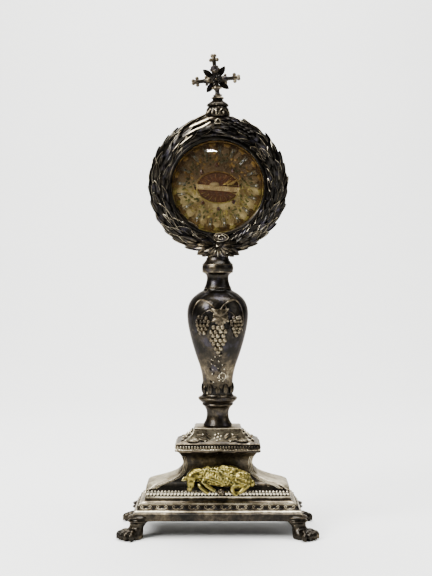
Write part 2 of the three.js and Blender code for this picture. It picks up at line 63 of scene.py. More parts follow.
def makePiece(name, shape, finish, replaced=()):
    mesh = bpy.data.meshes.new(name)
    mesh.from_pydata((shape.all() * mm).tolist(), [], shape.faces)
    mesh.validate()
    mesh.shade_smooth()
    mesh.set_sharp_from_angle(angle=math.radians(sharpDegrees))
    mesh.materials.append(finish)
    piece = bpy.data.objects.new(name, mesh)
    bpy.context.scene.collection.objects.link(piece)
    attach(piece, "root")
    if replaced:
        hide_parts(*replaced)


def unit(v):
    v = np.asarray(v, dtype=float)
    return v / max(np.linalg.norm(v), 1e-9)


def compass(angle):
    return np.array([math.cos(angle), math.sin(angle)])


def allRound(count):  # angles of a full turn
    return np.linspace(0, 2 * math.pi, count, endpoint=False)


def leftOf(way):
    return np.array([-way[1], way[0]])


def spread(k, share):  # from 0 to 1, never twice in the same place
    return (k * share) % 1


def gridFaces(rows, columns, wrapRows=False, wrapColumns=True):
    faces = []
    for i in range(rows if wrapRows else rows - 1):
        for j in range(columns if wrapColumns else columns - 1):
            a, b = i * columns + j, i * columns + (j + 1) % columns
            c, d = (i + 1) % rows * columns + j, (i + 1) % rows * columns + (j + 1) % columns
            faces.append((a, b, d, c))
    return faces


def addSkin(shape, rings, capFirst=True):  # rings of points, closed with caps
    rings = np.asarray(rings, dtype=float)
    rows, columns = rings.shape[:2]
    faces = gridFaces(rows, columns)
    if capFirst:
        faces.append(tuple(reversed(range(columns))))
    faces.append(tuple(range((rows - 1) * columns, rows * columns)))
    return shape.add(rings, faces)


def smoothLine(points, per=6):  # Catmull-Rom through the points
    points = np.asarray(points, dtype=float)
    ends = np.vstack([2 * points[0] - points[1], points, 2 * points[-1] - points[-2]])
    t = np.linspace(0, 1, per, endpoint=False)[:, None]
    spans = []
    for a, b, c, d in zip(ends, ends[1:], ends[2:], ends[3:]):
        spans.append(0.5 * (2 * b + (c - a) * t + (2 * a - 5 * b + 4 * c - d) * t**2
                            + (3 * b - a - 3 * c + d) * t**3))
    return np.vstack(spans + [points[-1:]])


def addTurned(shape, profile, steps=96, swell=None):  # profile rows are radius, z
    angles = allRound(steps)
    rings = []
    for radius, z in profile:
        reach = np.full(steps, radius) if swell is None else radius * swell(angles, z)
        rings.append(np.stack([reach * np.cos(angles), reach * np.sin(angles), np.full(steps, z)], axis=1))
    return addSkin(shape, rings)


def turnTo(direction, outward):  # a frame with x along direction and z near outward
    x = unit(direction)
    y = unit(np.cross(outward, x))
    return np.stack([x, y, np.cross(x, y)])


def addBall(shape, centre, radii, axes=None, sides=10, rows=7):
    axes = np.eye(3) if axes is None else axes
    rings = []
    for k in range(rows):
        lift = math.pi * (k + 0.5) / rows - math.pi / 2
        around = allRound(sides)
        ring = np.stack([np.cos(around) * math.cos(lift), np.sin(around) * math.cos(lift),
                         np.full(sides, math.sin(lift) * 1.02)], axis=1)
        rings.append((ring * np.asarray(radii)) @ axes + np.asarray(centre))
    addSkin(shape, rings)


def addTube(shape, path, radius, sides=8):  # radius is a number or one value for each point
    path = np.asarray(path, dtype=float)
    radii = np.broadcast_to(np.asarray(radius, dtype=float), (len(path),))
    tangents = np.gradient(path, axis=0)
    around = allRound(sides)
    side = unit(np.cross(unit(tangents[0]), (0.3, 0.5, 0.81)))
    rings = []
    for point, tangent, size in zip(path, tangents, radii):
        tangent = unit(tangent)
        side = unit(side - tangent * np.dot(side, tangent))
        other = np.cross(tangent, side)
        rings.append(point + size * (np.outer(np.cos(around), side) + np.outer(np.sin(around), other)))
    addSkin(shape, rings)


# A pointed leaf with a raised rib. Broad is the share of its length where it is widest.
def addLeaf(shape, base, tip, outward, width, lift=0.0, rib=0.25, thick=0.8, curl=0.0, steps=9, broad=0.42,
            rim=0.0):
    base, tip = np.asarray(base, dtype=float), np.asarray(tip, dtype=float)
    length = np.linalg.norm(tip - base)
    x, y, z = turnTo(tip - base, outward)
    rings = []
    for s in np.linspace(0.0, 1.0, steps):
        swellUp = (s / broad) ** 0.6 if s < broad else ((1 - s) / (1 - broad)) ** 0.8
        half = 0.5 * width * max(math.sin(0.5 * math.pi * min(swellUp, 1.0)), 0.04)
        rise = lift * 4 * s * (1 - s) + curl * s * s
        middle = base + x * length * s + z * rise
        ribHeight = rib * (0.35 + 0.65 * math.sin(math.pi * min(s + 0.05, 1.0)))
        cross = [(-1, rim), (-0.62, 0.20), (-0.2, 0.10), (0, 0.10 + ribHeight), (0.2, 0.10), (0.62, 0.20),
                 (1, rim), (0, -thick)]
        rings.append([middle + y * half * a + z * b * (0.25 + 0.75 * min(half * 1.4, 1.0))
                      for a, b in cross])
    addSkin(shape, rings)
    return np.array(rings)


def boxRing(halfX, halfY, perX, perY, corner=0.45):  # a rounded rectangle, sampled the same way each time
    quarter = np.linspace(0, math.pi / 2, 8)
    corners = [np.array(c) * (halfX - corner, halfY - corner) for c in ((1, 1), (-1, 1), (-1, -1), (1, -1))]
    points, normals = [], []
    for k, middle in enumerate(corners):
        for angle in quarter + k * math.pi / 2:
            points.append(middle + corner * compass(angle))
            normals.append(compass(angle))
        side = compass((k + 1) * math.pi / 2)
        start, stop = middle + corner * side, corners[(k + 1) % 4] + corner * side
        for t in np.linspace(0, 1, (perX if k % 2 == 0 else perY) + 1, endpoint=False)[1:]:
            points.append(start + (stop - start) * t)
            normals.append(side)
    return np.array(points), np.array(normals)


def ripple(points, size, seed):  # smooth wandering value from -1 to 1, for hand-made unevenness
    draw = np.random.default_rng(seed)
    value = np.zeros(len(points))
    for k in range(5):
        way = draw.normal(size=3)
        along = points @ (way / np.linalg.norm(way))
        value += np.sin(along * (2 * math.pi / size) * (0.6 + 0.3 * k) + draw.uniform(0, 6.28))
    return value / 5


class Wire:  # a node's socket that can stand in a sum
    def __init__(self, finish, socket):
        self.finish = finish
        self.socket = socket

    def calc(self, operation, first, second=0.0):
        return self.finish.node("Math", {"operation": operation}, {0: first, 1: second})

    def __add__(self, other):
        return self.calc("ADD", self, other)

    def __radd__(self, other):
        return self.calc("ADD", other, self)

    def __sub__(self, other):
        return self.calc("SUBTRACT", self, other)

    def __rsub__(self, other):
        return self.calc("SUBTRACT", other, self)

    def __mul__(self, other):
        return self.calc("MULTIPLY", self, other)

    def __rmul__(self, other):
        return self.calc("MULTIPLY", other, self)

    def __abs__(self):
        return self.calc("ABSOLUTE", self)

    def rise(self, low, high):  # 0 below low, 1 above high, smooth between
        return self.finish.node("MapRange", {"interpolation_type": "SMOOTHSTEP"},
                                {"Value": self, "From Min": low, "From Max": high})

    def clamp(self):
        return self.finish.node("Clamp", {}, {"Value": self})


class Finish:  # one node material
    def __init__(self, name):
        self.material = bpy.data.materials.new(name)
        self.material.use_nodes = True
        self.tree = self.material.node_tree
        self.tree.nodes.clear()
        self.place = self.node("TexCoord", out="Object")

    def node(self, kind, settings=None, sockets=None, out=0):
        made = self.tree.nodes.new("ShaderNode" + kind)
        for key, value in (settings or {}).items():
            if key == "stops":
                while len(made.color_ramp.elements) < len(value):
                    made.color_ramp.elements.new(1.0)
                for element, (position, colour) in zip(made.color_ramp.elements, value):
                    element.position = position
                    element.color = (*colour, 1.0)
            else:
                setattr(made, key, value)
        for key, value in (sockets or {}).items():
            if isinstance(value, Wire):
                self.tree.links.new(value.socket, made.inputs[key])
            elif made.inputs[key].type == "RGBA" and len(value) == 3:
                made.inputs[key].default_value = (*value, 1.0)
            else:
                made.inputs[key].default_value = value
        return Wire(self, made.outputs[out]) if len(made.outputs) else None

    def noise(self, scale, detail=4.0, roughness=0.55):
        return self.node("TexNoise", {}, {"Vector": self.place, "Scale": scale, "Detail": detail,
                                          "Roughness": roughness})

    def part(self, vector, axis):
        return self.node("SeparateXYZ", {}, {"Vector": vector}, out=axis)

    def mix(self, factor, first, second):
        return self.node("Mix", {"data_type": "RGBA"}, {0: factor, 6: first, 7: second}, out=2)

    def bump(self, height, distance, strength):
        return self.node("Bump", {}, {"Height": height, "Distance": distance, "Strength": strength})

    def shader(self, **values):
        sockets = {key.replace("_", " "): value for key, value in values.items()}
        surface = self.node("BsdfPrincipled", {}, sockets)
        self.node("OutputMaterial", {}, {"Surface": surface})
        return self.material


# Silver: black-brown sulphide tarnish that has worn back to metal on the high places.
silverLook = {
    "tones": [(0.0, (0.64, 0.59, 0.475)), (0.28, (0.30, 0.262, 0.190)), (0.52, (0.105, 0.085, 0.058)),
              (0.76, (0.036, 0.030, 0.0225)), (1.0, (0.014, 0.0125, 0.0105))],
    "violet": (0.046, 0.043, 0.059),       # thin film that turns blue and violet in places
    "metallic": 0.94,
    "coat": 0.22,
    "coatRoughness": 0.16,
    "coatTint": (1.0, 0.95, 0.84, 1.0),
    "edgeTint": (0.42, 0.38, 0.32, 1.0),
    "relief": 0.00008,
}


def between(value, low, high):  # 1 between two heights in metres, with soft ends
    return value.rise(low - 0.0008, low + 0.0004) * (1 - value.rise(high - 0.0004, high + 0.0008))


# Cover is the share of tarnish and swing how far it wanders. Worn clears the edges. Faces that point up get
# a painted highlight of the light from above.
# Faces that point sideways between two heights get a painted highlight of the side lights. Levels hold
# heights between which faces are lighter or darker, and matt heights between which they are duller.
def silverFinish(name, cover, worn=0.4, swing=0.6, roughness=0.27, patch=95.0, paintedTopLight=0.0, paintedSideLight=None,
                 levels=(), beads=None, violet=0.0, matt=()):
    look = silverLook
    f = Finish(name)
    cloud = f.noise(patch, 5.0)
    small = f.noise(patch * 5.5, 4.0, 0.62)
    fine = f.noise(patch * 26, 3.0, 0.6)
    pointed = f.node("NewGeometry", out="Pointiness")
    high = pointed.rise(0.505, 0.60)
    hollow = 1 - pointed.rise(0.42, 0.497)
    film = cover + (cloud - 0.5) * (2 * swing) + (small - 0.5) * (1.1 * swing) - worn * high + hollow * 0.4
    facing = f.node("NewGeometry", out="Normal")
    atX, atY, atZ = (f.part(f.place, axis) for axis in range(3))
    # painted highlight: faces that point up are lighter, as if lit from above
    if paintedTopLight:
        film = film - paintedTopLight * f.part(facing, 2).rise(0.15, 0.8)
    # painted highlight: faces that point sideways are lighter between two heights, as if lit from the sides
    if paintedSideLight:
        amount, low, top = paintedSideLight
        sideLitMask = (abs(f.part(facing, 0)) - 0.2 * abs(f.part(facing, 1))).rise(0.0, 0.15)
        film = film - amount * sideLitMask * between(atZ, low, top)
    for low, top, amount in levels:
        film = film + amount * between(atZ, low, top)
    if beads:  # half width, half depth, heights and lightening of a row that stands proud: worn metal plus a painted highlight, strongest at the left
        halfX, halfY, low, top, amount = beads
        proud = f.node("Math", {"operation": "MAXIMUM"}, {0: abs(atX) - halfX, 1: abs(atY) - halfY})
        # raised row lighter: partly worn metal, partly a painted highlight of the key light that fades
        # towards the right
        wearAndLeftLight = amount - 0.35 * atX.rise(-0.004, 0.022)
        film = film - wearAndLeftLight * proud.rise(0.0004, 0.0009) * between(atZ, low, top)
    film = film.clamp()
    tone = f.node("ValToRGB", {"stops": look["tones"]}, {"Fac": film})
    if violet:
        tone = f.mix(f.noise(patch * 1.7, 3.0).rise(0.52, 0.68) * violet, tone, look["violet"])
    dull = roughness + 0.14 * film + 0.16 * (fine - 0.5)
    for low, top, amount in matt:
        dull = dull + amount * between(atZ, low, top)
    normal = f.bump(small * 0.7 + fine * 0.3, look["relief"], 0.6)
    return f.shader(Base_Color=tone, Metallic=look["metallic"], Roughness=dull.clamp(), Normal=normal,
                    Specular_IOR_Level=0.5, Specular_Tint=look["edgeTint"], Coat_Weight=look["coat"],
                    Coat_Roughness=look["coatRoughness"], Coat_Tint=look["coatTint"])


def gildFinish():
    f = Finish("gilding")
    broad = f.noise(120.0, 4.0)
    small = f.noise(520.0, 4.0, 0.6)
    pointed = f.node("NewGeometry", out="Pointiness")
    high = pointed.rise(0.50, 0.56)
    hollow = 1 - pointed.rise(0.43, 0.50)
    tone = f.mix(broad.rise(0.35, 0.7), (0.17, 0.138, 0.040), (0.31, 0.25, 0.080))
    tone = f.mix(f.noise(210.0, 3.0).rise(0.48, 0.62) * 0.55, tone, (0.10, 0.092, 0.034))
    # painted highlight: raised places turn pale cream
    tone = f.mix((high * 0.6).clamp(), tone, (0.62, 0.56, 0.30))
    tone = f.mix((hollow * 0.9 + small.rise(0.52, 0.72) * 0.35).clamp(), tone, (0.030, 0.036, 0.013))
    metal = 1 - (hollow * 0.4).clamp()
    return f.shader(Base_Color=tone, Metallic=metal, Roughness=(0.31 + 0.2 * hollow).clamp(),
                    Normal=f.bump(small, 0.00006, 0.6))


def plainFinish(name, first, second, scale, roughness, metallic=0.0, relief=0.0, coat=0.0):
    f = Finish(name)
    grain = f.noise(scale, 5.0, 0.6)
    tone = f.mix(grain.rise(0.35, 0.68), first, second)
    values = {"Base_Color": tone, "Roughness": (roughness + 0.15 * (grain - 0.5)).clamp(),
              "Metallic": metallic, "Coat_Weight": coat}
    if relief:
        values["Normal"] = f.bump(grain, relief, 0.7)
    return f.shader(**values)


# Small display things with painted shade: the upper half is darker, as if shadowed by the rim above. Upper
# and lower hold two tones each.
def strewnFinish(name, upper, lower, scale, roughness, metallic=0.0):
    f = Finish(name)
    grain = f.noise(scale, 5.0, 0.6).rise(0.35, 0.68)
    height = f.part(f.place, 2) + (f.noise(90.0, 3.0) - 0.5) * 0.016
    # painted shade: the upper half takes the darker tones
    paintedShade = height.rise(0.2290, 0.2395)
    tone = f.mix(paintedShade, f.mix(grain, *lower), f.mix(grain, *upper))
    return f.shader(Base_Color=tone, Roughness=roughness, Metallic=metallic,
                    Normal=f.bump(grain, 0.0001, 0.7))


def glassFinish():
    f = Finish("pane")
    smear = f.noise(30.0, 3.0)
    return f.shader(Base_Color=(0.035, 0.024, 0.010), Roughness=0.004, Alpha=0.14 + 0.06 * smear,
                    Specular_IOR_Level=0.5)


stemSilver = silverFinish("stemSilver", 0.80, 0.7, violet=0.5)
balusterSilver = silverFinish("balusterSilver", 0.98, 0.6, violet=0.6,
                              levels=[(0.0970, 0.1110, -0.10), (0.0970, 0.1160, -0.10),
                                      (0.0970, 0.1205, -0.08), (0.0970, 0.1250, -0.05)])
vineSilver = silverFinish("vineSilver", 0.62, 0.30, swing=0.5, roughness=0.3, patch=140.0)
# the pedestal and cap get painted highlights on faces that point up, and the pedestal also on its side
# flanks
pedestalSilver = silverFinish("pedestalSilver", 0.78, 0.5, paintedTopLight=0.20, patch=70.0,
                              paintedSideLight=(0.62, 0.0308, 0.0400),
                              levels=[(0.0100, 0.0166, 0.26), (0.0168, 0.0180, -0.35),
                                      (0.0182, 0.0214, 0.05), (0.0216, 0.0227, -0.45),
                                      (0.0252, 0.0264, -0.45), (0.0306, 0.0400, 0.22),
                                      (0.0400, 0.0550, -0.12)],
                              beads=(0.0473, 0.0184, 0.0264, 0.0302, 1.0),
                              matt=[(0.0180, 0.0216, 0.30), (0.0306, 0.0550, 0.08)])
capSilver = silverFinish("capSilver", 0.72, 0.5, paintedTopLight=0.26, patch=80.0,
                         levels=[(0.0550, 0.0568, 0.2), (0.0568, 0.0575, -0.2), (0.0600, 0.0624, 0.22),
                                 (0.0626, 0.0692, -0.36), (0.0692, 0.0712, -0.1)],
                         beads=(0.0270, 0.0161, 0.0572, 0.0599, 0.7))
# painted highlight: the straps are lighter than the wreath they lie on
strapHighlightSilver = silverFinish("strapHighlightSilver", 0.26, 0.2, swing=0.3, roughness=0.24)
# painted highlight: the levels lighten the tie at the bottom of the wreath
wreathSilver = silverFinish("wreathSilver", 0.90, 0.7, roughness=0.2, violet=0.6,
                            levels=[(0.1830, 0.1950, -0.20), (0.1830, 0.2010, -0.14)])
# worn rims that also stand in for edge glints, a painted highlight
edgeGlintSilver = silverFinish("edgeGlintSilver", 0.42, 0.2, swing=0.9, roughness=0.26)
crownSilver = silverFinish("crownSilver", 0.88, 0.6, roughness=0.22)
footSilver = silverFinish("footSilver", 0.80, 0.4)
crossSilver = silverFinish("crossSilver", 0.90, 0.55, violet=0.7)
bossSilver = silverFinish("bossSilver", 0.76, 0.4, violet=0.8)
caseSilver = silverFinish("caseSilver", 0.82, 0.4)
lipSilver = silverFinish("lipSilver", 0.30, 0.2, swing=0.3, roughness=0.4)
gilding = gildFinish()
paneFinish = glassFinish()
groundFinish = strewnFinish("relicGround", [(0.040, 0.020, 0.010), (0.080, 0.042, 0.016)],
                            [(0.11, 0.060, 0.018), (0.24, 0.145, 0.045)], 220.0, 0.8)
creamFinish = strewnFinish("relicPaper", [(0.070, 0.041, 0.018), (0.130, 0.082, 0.036)],
                           [(0.19, 0.130, 0.048), (0.52, 0.420, 0.205)], 90.0, 0.7)
displayGold = strewnFinish("relicGold", [(0.11, 0.060, 0.018), (0.30, 0.185, 0.058)],
                           [(0.15, 0.115, 0.026), (0.42, 0.340, 0.110)], 260.0, 0.4, 0.5)
sprigFinish = strewnFinish("relicSprigs", [(0.030, 0.028, 0.010), (0.070, 0.062, 0.020)],
                           [(0.050, 0.052, 0.012), (0.19, 0.180, 0.050)], 260.0, 0.5, 0.3)
pearlFinish = strewnFinish("relicPearls", [(0.10, 0.10, 0.11), (0.22, 0.22, 0.22)],
                           [(0.50, 0.48, 0.38), (0.75, 0.72, 0.62)], 400.0, 0.25)
velvetFinish = plainFinish("relicVelvet", (0.042, 0.014, 0.007), (0.095, 0.034, 0.014), 500.0, 0.9,
                           relief=0.0001)
labelFinish = plainFinish("relicLabel", (0.27, 0.185, 0.080), (0.50, 0.380, 0.185), 130.0, 0.7)
inkFinish = plainFinish("relicStrokes", (0.05, 0.028, 0.012), (0.08, 0.048, 0.020), 300.0, 0.8)
beadFinish = plainFinish("relicBeads", (0.07, 0.07, 0.05), (0.19, 0.185, 0.14), 400.0, 0.22, 0.0, 0.0, 0.3)
gemFinish = plainFinish("relicGems", (0.030, 0.008, 0.004), (0.06, 0.016, 0.008), 300.0, 0.2, 0.0, 0.0, 0.4)
print("finishes ready")


def levelAt(levels, z):  # half width and half depth of a moulding at a height
    levels = np.asarray(levels)
    return np.interp(z, levels[:, 0], levels[:, 1]), np.interp(z, levels[:, 0], levels[:, 2])


def makeMoulding(levels, sides, uneven, seed, shapeIt):  # sides: points along a long and a short side
    rings = []
    for z, halfX, halfY, *corner in levels:
        plan, normals = boxRing(halfX, halfY, *sides, *corner)
        ring = np.column_stack([plan, np.full(len(plan), z)])
        out = np.column_stack([normals, np.zeros(len(plan))])
        ring = ring + out * (uneven * ripple(ring, 34.0, seed))[:, None]
        ring[:, 2] += uneven * ripple(ring, 26.0, seed + 1)
        rings.append(shapeIt(ring, out))
    return addSkin(Shape(), rings)


sideWays = [((0, -1), (1, 0)), ((1, 0), (0, 1)), ((0, 1), (-1, 0)), ((-1, 0), (0, -1))]  # outward, along


def aroundSides(halfX, halfY, pitch):  # evenly spaced places round a rectangle, with their two ways
    for k, (out, along) in enumerate(sideWays):
        reach, half = (halfY, halfX) if k % 2 == 0 else (halfX, halfY)
        count = int(round(2 * half / pitch))
        for i in range(count):
            t = (i + 0.5) / count * 2 - 1
            place = np.array([out[0] * reach + along[0] * half * t, out[1] * reach + along[1] * half * t])
            yield place, np.array([*out, 0.0]), np.array([*along, 0.0]), i, t


# Pedestal: a stepped rectangular foot, a concave body and its neck. Rows are height, half width and half
# depth, and those of the body also how round the corner is.
pedestalLook = {
    "corner": 0.45,
    "sides": (150, 90),
    "seed": 11,
    "band": [(11.4, 55.6, 25.7), (11.7, 55.9, 26.0), (16.1, 55.7, 25.8), (16.5, 55.3, 25.4)],
    "fillet": [(16.7, 54.9, 25.0), (17.2, 54.95, 25.05), (17.7, 54.6, 24.7), (17.9, 54.0, 24.1)],
    "relief": [(18.1, 53.7, 23.8), (21.5, 51.8, 21.9)],
    "upperFillet": [(21.7, 51.6, 21.8), (22.1, 51.7, 21.9), (22.5, 51.5, 21.7), (22.7, 51.0, 21.2)],
    "cove": [(22.9, 50.2, 20.5), (23.6, 49.0, 19.7), (24.6, 48.3, 19.2), (25.7, 47.9, 19.0)],
    "beadSeat": [(25.9, 48.1, 19.1), (26.4, 48.0, 19.0), (26.6, 47.3, 18.4), (30.0, 47.2, 18.3),
                 (30.3, 47.3, 18.4)],
    "body": [(30.6, 47.3, 18.3, 1.5), (31.2, 47.5, 18.2, 4.0), (32.2, 47.5, 18.0, 6.0),
             (33.4, 46.3, 17.6, 6.8), (34.4, 43.5, 16.9, 6.6), (35.6, 38.5, 15.8, 5.6),
             (37.2, 33.1, 14.7, 4.2), (39.2, 28.1, 13.6, 2.6), (41.8, 24.9, 12.8, 1.4),
             (44.2, 23.7, 12.5, 0.9), (46.6, 23.1, 12.3, 0.6), (49.6, 23.3, 12.5, 0.45),
             (51.7, 24.0, 13.2, 0.45), (53.6, 25.1, 14.5, 0.45), (54.8, 26.2, 15.6, 0.45)],
    "uneven": 0.16,
    "beadLine": (47.3, 18.4),
    "beadPitch": 2.25,
    "beadSize": (1.1, 0.95, 1.8),
    "beadHeight": 28.45,
    "beadLean": 0.42,
    "engraved": (1.0, 2.6, 4.4, 6.6, 9.2, 12.0),  # how far the engraved lines are from a flank's edge
    "engraveDepth": 0.5,
    "engraveWidth": 0.34,
    "borders": [(0.1, 0.42), (2.1, 0.3)],  # inset and radius of the raised lines beside a panel's dots
    "dotInset": 1.1,
    "dot": (0.3, 0.25, 0.24),
    "reliefLine": (52.5, 22.6),
    "reliefPitch": 5.3,
    "reliefHeight": 19.8,
    "scroll": [(-2.9, -0.9), (-1.2, -1.2), (0.4, -0.5), (0.9, 0.6), (0.1, 1.2), (-0.7, 0.7), (-0.3, 0.1)],
    "scrollLeaves": [  # foot and tip along and up the slope, then what addLeaf is told
        ((0.8, -0.9), (3.2, 0.9), (2.3, 0.35, 0.3, 0.5, 0.3, 6)),
        ((1.0, -1.2), (3.5, -0.9), (1.7, 0.3, 0.25, 0.5, 0.2, 6)),
        ((-2.6, -0.4), (-1.1, 1.2), (2.0, 0.35, 0.25, 0.5, 0.2, 6))],
}


def makePedestal():
    look = pedestalLook
    square = np.vstack([*(look[part] for part in ("band", "fillet", "relief", "upperFillet")),
                        smoothLine(look["cove"], 4), look["beadSeat"]])
    levels = np.vstack([[(*row, look["corner"]) for row in square], smoothLine(look["body"], 7)])

    def engrave(ring, out):
        paintedSideLight = np.clip((np.abs(out[:, 0]) - 0.3) / 0.5, 0, 1)
        edge = np.abs(ring[:, 1]).max() - np.abs(ring[:, 1])
        fade = np.clip((ring[:, 2] - 31.0) / 2.0, 0, 1) * np.clip((53 - ring[:, 2]) / 3.0, 0, 1)
        cut = sum(np.exp(-((edge - line) / look["engraveWidth"]) ** 2) for line in look["engraved"])
        return ring - out * (look["engraveDepth"] * paintedSideLight * cut * fade)[:, None]

    shape = makeMoulding(levels, look["sides"], look["uneven"], look["seed"], engrave)
    for place, out, along, i, t in aroundSides(*look["beadLine"], look["beadPitch"]):
        lean = unit(np.array([0, 0, 1.0]) + along * look["beadLean"] * (1 if t < 0.1 else -1))
        middle = np.array([*(place + out[:2] * 0.1), look["beadHeight"]])
        addBall(shape, middle, look["beadSize"], np.stack([unit(np.cross(out, lean)), out, lean]), 8, 7)
    addReliefBand(shape)
    addPanelBorders(shape)
    makePiece("pedestal_silver", shape, pedestalSilver, ["pedestal"])


def addPanelBorders(shape):  # raised lines and a row of dots along each side of the front and back panels
    look = pedestalLook
    rows = np.array(look["body"])
    heights = np.arange(31.4, 52.5, 0.4)
    halfX, halfY, corner = (np.interp(heights, rows[:, 0], rows[:, k]) for k in (1, 2, 3))
    for way in (-1, 1):
        for side in (-1, 1):
            for inset, radius in look["borders"]:
                path = np.stack([side * (halfX - corner - inset), way * (halfY + 0.02), heights], axis=1)
                addTube(shape, path, radius, 7)
            for x, y, z in zip(halfX - corner - look["dotInset"], halfY, heights):
                addBall(shape, (side * x, way * (y + 0.05), z), look["dot"], None, 6, 4)


def addReliefBand(shape):  # leaves and berries in the sloping band
    look = pedestalLook
    slope = unit([0, 1.9, 3.4])
    for place, out, along, i, t in aroundSides(*look["reliefLine"], look["reliefPitch"]):
        up = unit(np.array([0, 0, slope[2]]) - out * slope[1])
        normal = unit(out * slope[2] + np.array([0, 0, slope[1]]))
        middle = np.array([*place, look["reliefHeight"]]) - normal * 0.05
        way = along if i % 2 else -along
        path = [middle + way * a + up * b + normal * 0.15 for a, b in smoothLine(look["scroll"], 4)]
        addTube(shape, path, np.linspace(0.4, 0.26, len(path)), 7)
        for (a, b), (c, d), leaf in look["scrollLeaves"]:
            addLeaf(shape, middle + way * a + up * b, middle + way * c + up * d, normal, *leaf)
        addBall(shape, middle - way * 0.3 + up * 0.2, (0.5, 0.5, 0.4), turnTo(way, normal), 7, 5)


# Cap of the pedestal: a toothed rim under a concave slope with low foliage.
capLook = {
    "sides": (100, 60),
    "seed": 23,
    "rim": [(55.1, 27.4, 16.4), (55.3, 28.2, 17.1), (55.9, 28.5, 17.4), (56.6, 28.4, 17.3),
            (56.9, 27.9, 16.9)],
    "band": [(57.1, 27.7, 16.7), (59.9, 27.5, 16.5)],
    "fillet": [(60.1, 27.7, 16.7), (60.5, 27.6, 16.6), (60.8, 27.1, 16.2)],
    "slope": [(61.0, 26.5, 16.0), (61.5, 25.2, 15.5), (62.5, 22.4, 14.6), (64.6, 19.3, 13.5),
              (67.2, 16.9, 12.6), (69.2, 15.9, 12.1)],
    "top": [(69.7, 15.85, 12.1), (70.3, 15.5, 11.8), (70.7, 14.6, 11.0), (70.9, 12.5, 9.6)],
    "uneven": 0.2,
    "toothLine": (27.4, 16.4),
    "toothPitch": 1.9,
    "toothHeight": 58.4,
    "toothSize": (0.6, 0.7, 0.95),
    "flowerHeight": 64.8,
    "flowerReach": 2.3,
    "petals": 6,
    "leaves": [  # foot and tip, each a share of the half side and a height, and the width
        (0.2, 63.6, 0.46, 66.4, 2.6), (0.28, 62.6, 0.66, 63.8, 2.8), (0.5, 62.2, 0.88, 62.1, 2.6),
        (0.46, 65.0, 0.8, 66.0, 2.2), (0.24, 65.8, 0.5, 68.0, 1.8), (0.6, 63.6, 0.9, 64.2, 2.0)],
    "berries": [(0.36, 62.2), (0.56, 66.4), (0.74, 62.0)],
}


def makeCap():
    look = capLook
    levels = np.vstack([look["rim"], look["band"], look["fillet"], smoothLine(look["slope"], 6),
                        look["top"]])

    def wave(ring, out):
        low = np.clip((57.4 - ring[:, 2]) / 1.6, 0, 1)
        ring[:, 2] += 0.28 * low * np.sin(ring[:, 0] * 0.42 + 1.0) + 0.12 * low * np.sin(ring[:, 0] * 1.1)
        return ring

    shape = makeMoulding(levels, look["sides"], look["uneven"], look["seed"], wave)
    for place, out, along, i, t in aroundSides(*look["toothLine"], look["toothPitch"]):
        middle = np.array([*(place + out[:2] * 0.5), look["toothHeight"]])
        addBall(shape, middle, look["toothSize"], np.stack([along, out, (0, 0, 1.0)]), 8, 6)
    for side, reach in ((0, 1.0), (2, 1.0), (1, 0.62), (3, 0.62)):  # smaller leaves on the short sides
        out, along = sideWays[side]
        addCapFoliage(shape, np.array([*out, 0.0]), np.array([*along, 0.0]), reach)
    makePiece("cap_silver", shape, capSilver, ["pedestal_cap"])


def addCapFoliage(shape, out, along, reach):
    look = capLook

    def on(t, z, proud=0.0):  # a point on the slope, t along the side
        halfX, halfY = levelAt(look["slope"], z)
        half = abs(np.dot(along, (halfX, halfY, 0)))
        depth = abs(np.dot(out, (halfX, halfY, 0)))
        lowX, lowY = levelAt(look["slope"], z + 0.5)
        lean = depth - abs(np.dot(out, (lowX, lowY, 0)))
        normal = unit(out * 0.5 + np.array([0, 0, lean]))
        return out * depth + along * half * t + np.array([0, 0, z]) + normal * proud, normal

    middle, normal = on(0, look["flowerHeight"], 0.25)
    upWay = unit(np.cross(along, normal)) * np.sign(np.cross(along, normal)[2])
    for k in range(look["petals"]):
        angle = k * 2 * math.pi / look["petals"] + 0.3
        way = along * math.cos(angle) + upWay * math.sin(angle)
        petal = middle + way * look["flowerReach"] + normal * 0.15
        addBall(shape, petal, (0.62, 0.62, 0.6), turnTo(along, normal), 9, 7)
    addBall(shape, middle + normal * 0.25, (0.85, 0.75, 0.7), turnTo(along, normal), 10, 7)
    for way in (-1, 1):
        for t0, z0, t1, z1, width in look["leaves"]:
            a, normalA = on(way * t0, z0, 0.1)
            b, normalB = on(way * t1, z1, 0.25)
            addLeaf(shape, a, b, normalA + normalB, width * (0.7 + 0.3 * reach), 0.3, 0.35, 0.8, 0.3, 7)
        for t, z in look["berries"]:
            spot, normalA = on(way * t, z, 0.15)
            addBall(shape, spot, (0.6, 0.6, 0.5), turnTo(along, normalA), 7, 5)


# Turned pieces of the stem, rows of radius and height.
spoolLook = {
    "profile": [(9.2, 71.0), (9.7, 71.4), (9.6, 72.0), (8.9, 73.2), (8.0, 75.0), (7.45, 77.4), (7.4, 79.4),
                (7.7, 81.4), (8.6, 83.4), (9.8, 84.6)],
    "rings": [(10.2, 84.9), (10.5, 85.5), (10.2, 86.1), (10.6, 86.6), (11.4, 87.3), (12.6, 88.4),
              (13.15, 89.3), (13.1, 89.9), (12.6, 90.4), (11.4, 90.9), (10.6, 91.6), (10.2, 92.4),
              (9.6, 92.6)],
}
collarLook = {
    "lower": [(8.6, 163.2), (9.1, 163.5), (9.2, 163.9), (8.8, 164.5), (8.1, 166.2), (7.45, 168.6),
              (7.3, 170.4), (7.6, 172.2), (8.6, 173.4), (9.6, 174.0)],
    "band": [(9.9, 174.1), (10.35, 174.4), (10.45, 174.8), (10.25, 175.1), (10.4, 175.6), (10.55, 176.6),
             (10.55, 177.6), (10.4, 178.6), (10.2, 179.0), (10.4, 179.3), (10.3, 179.7), (9.9, 180.0)],
    "upper": [(9.5, 180.5), (8.6, 181.6), (7.8, 182.9), (7.3, 184.3), (6.6, 184.8)],
}


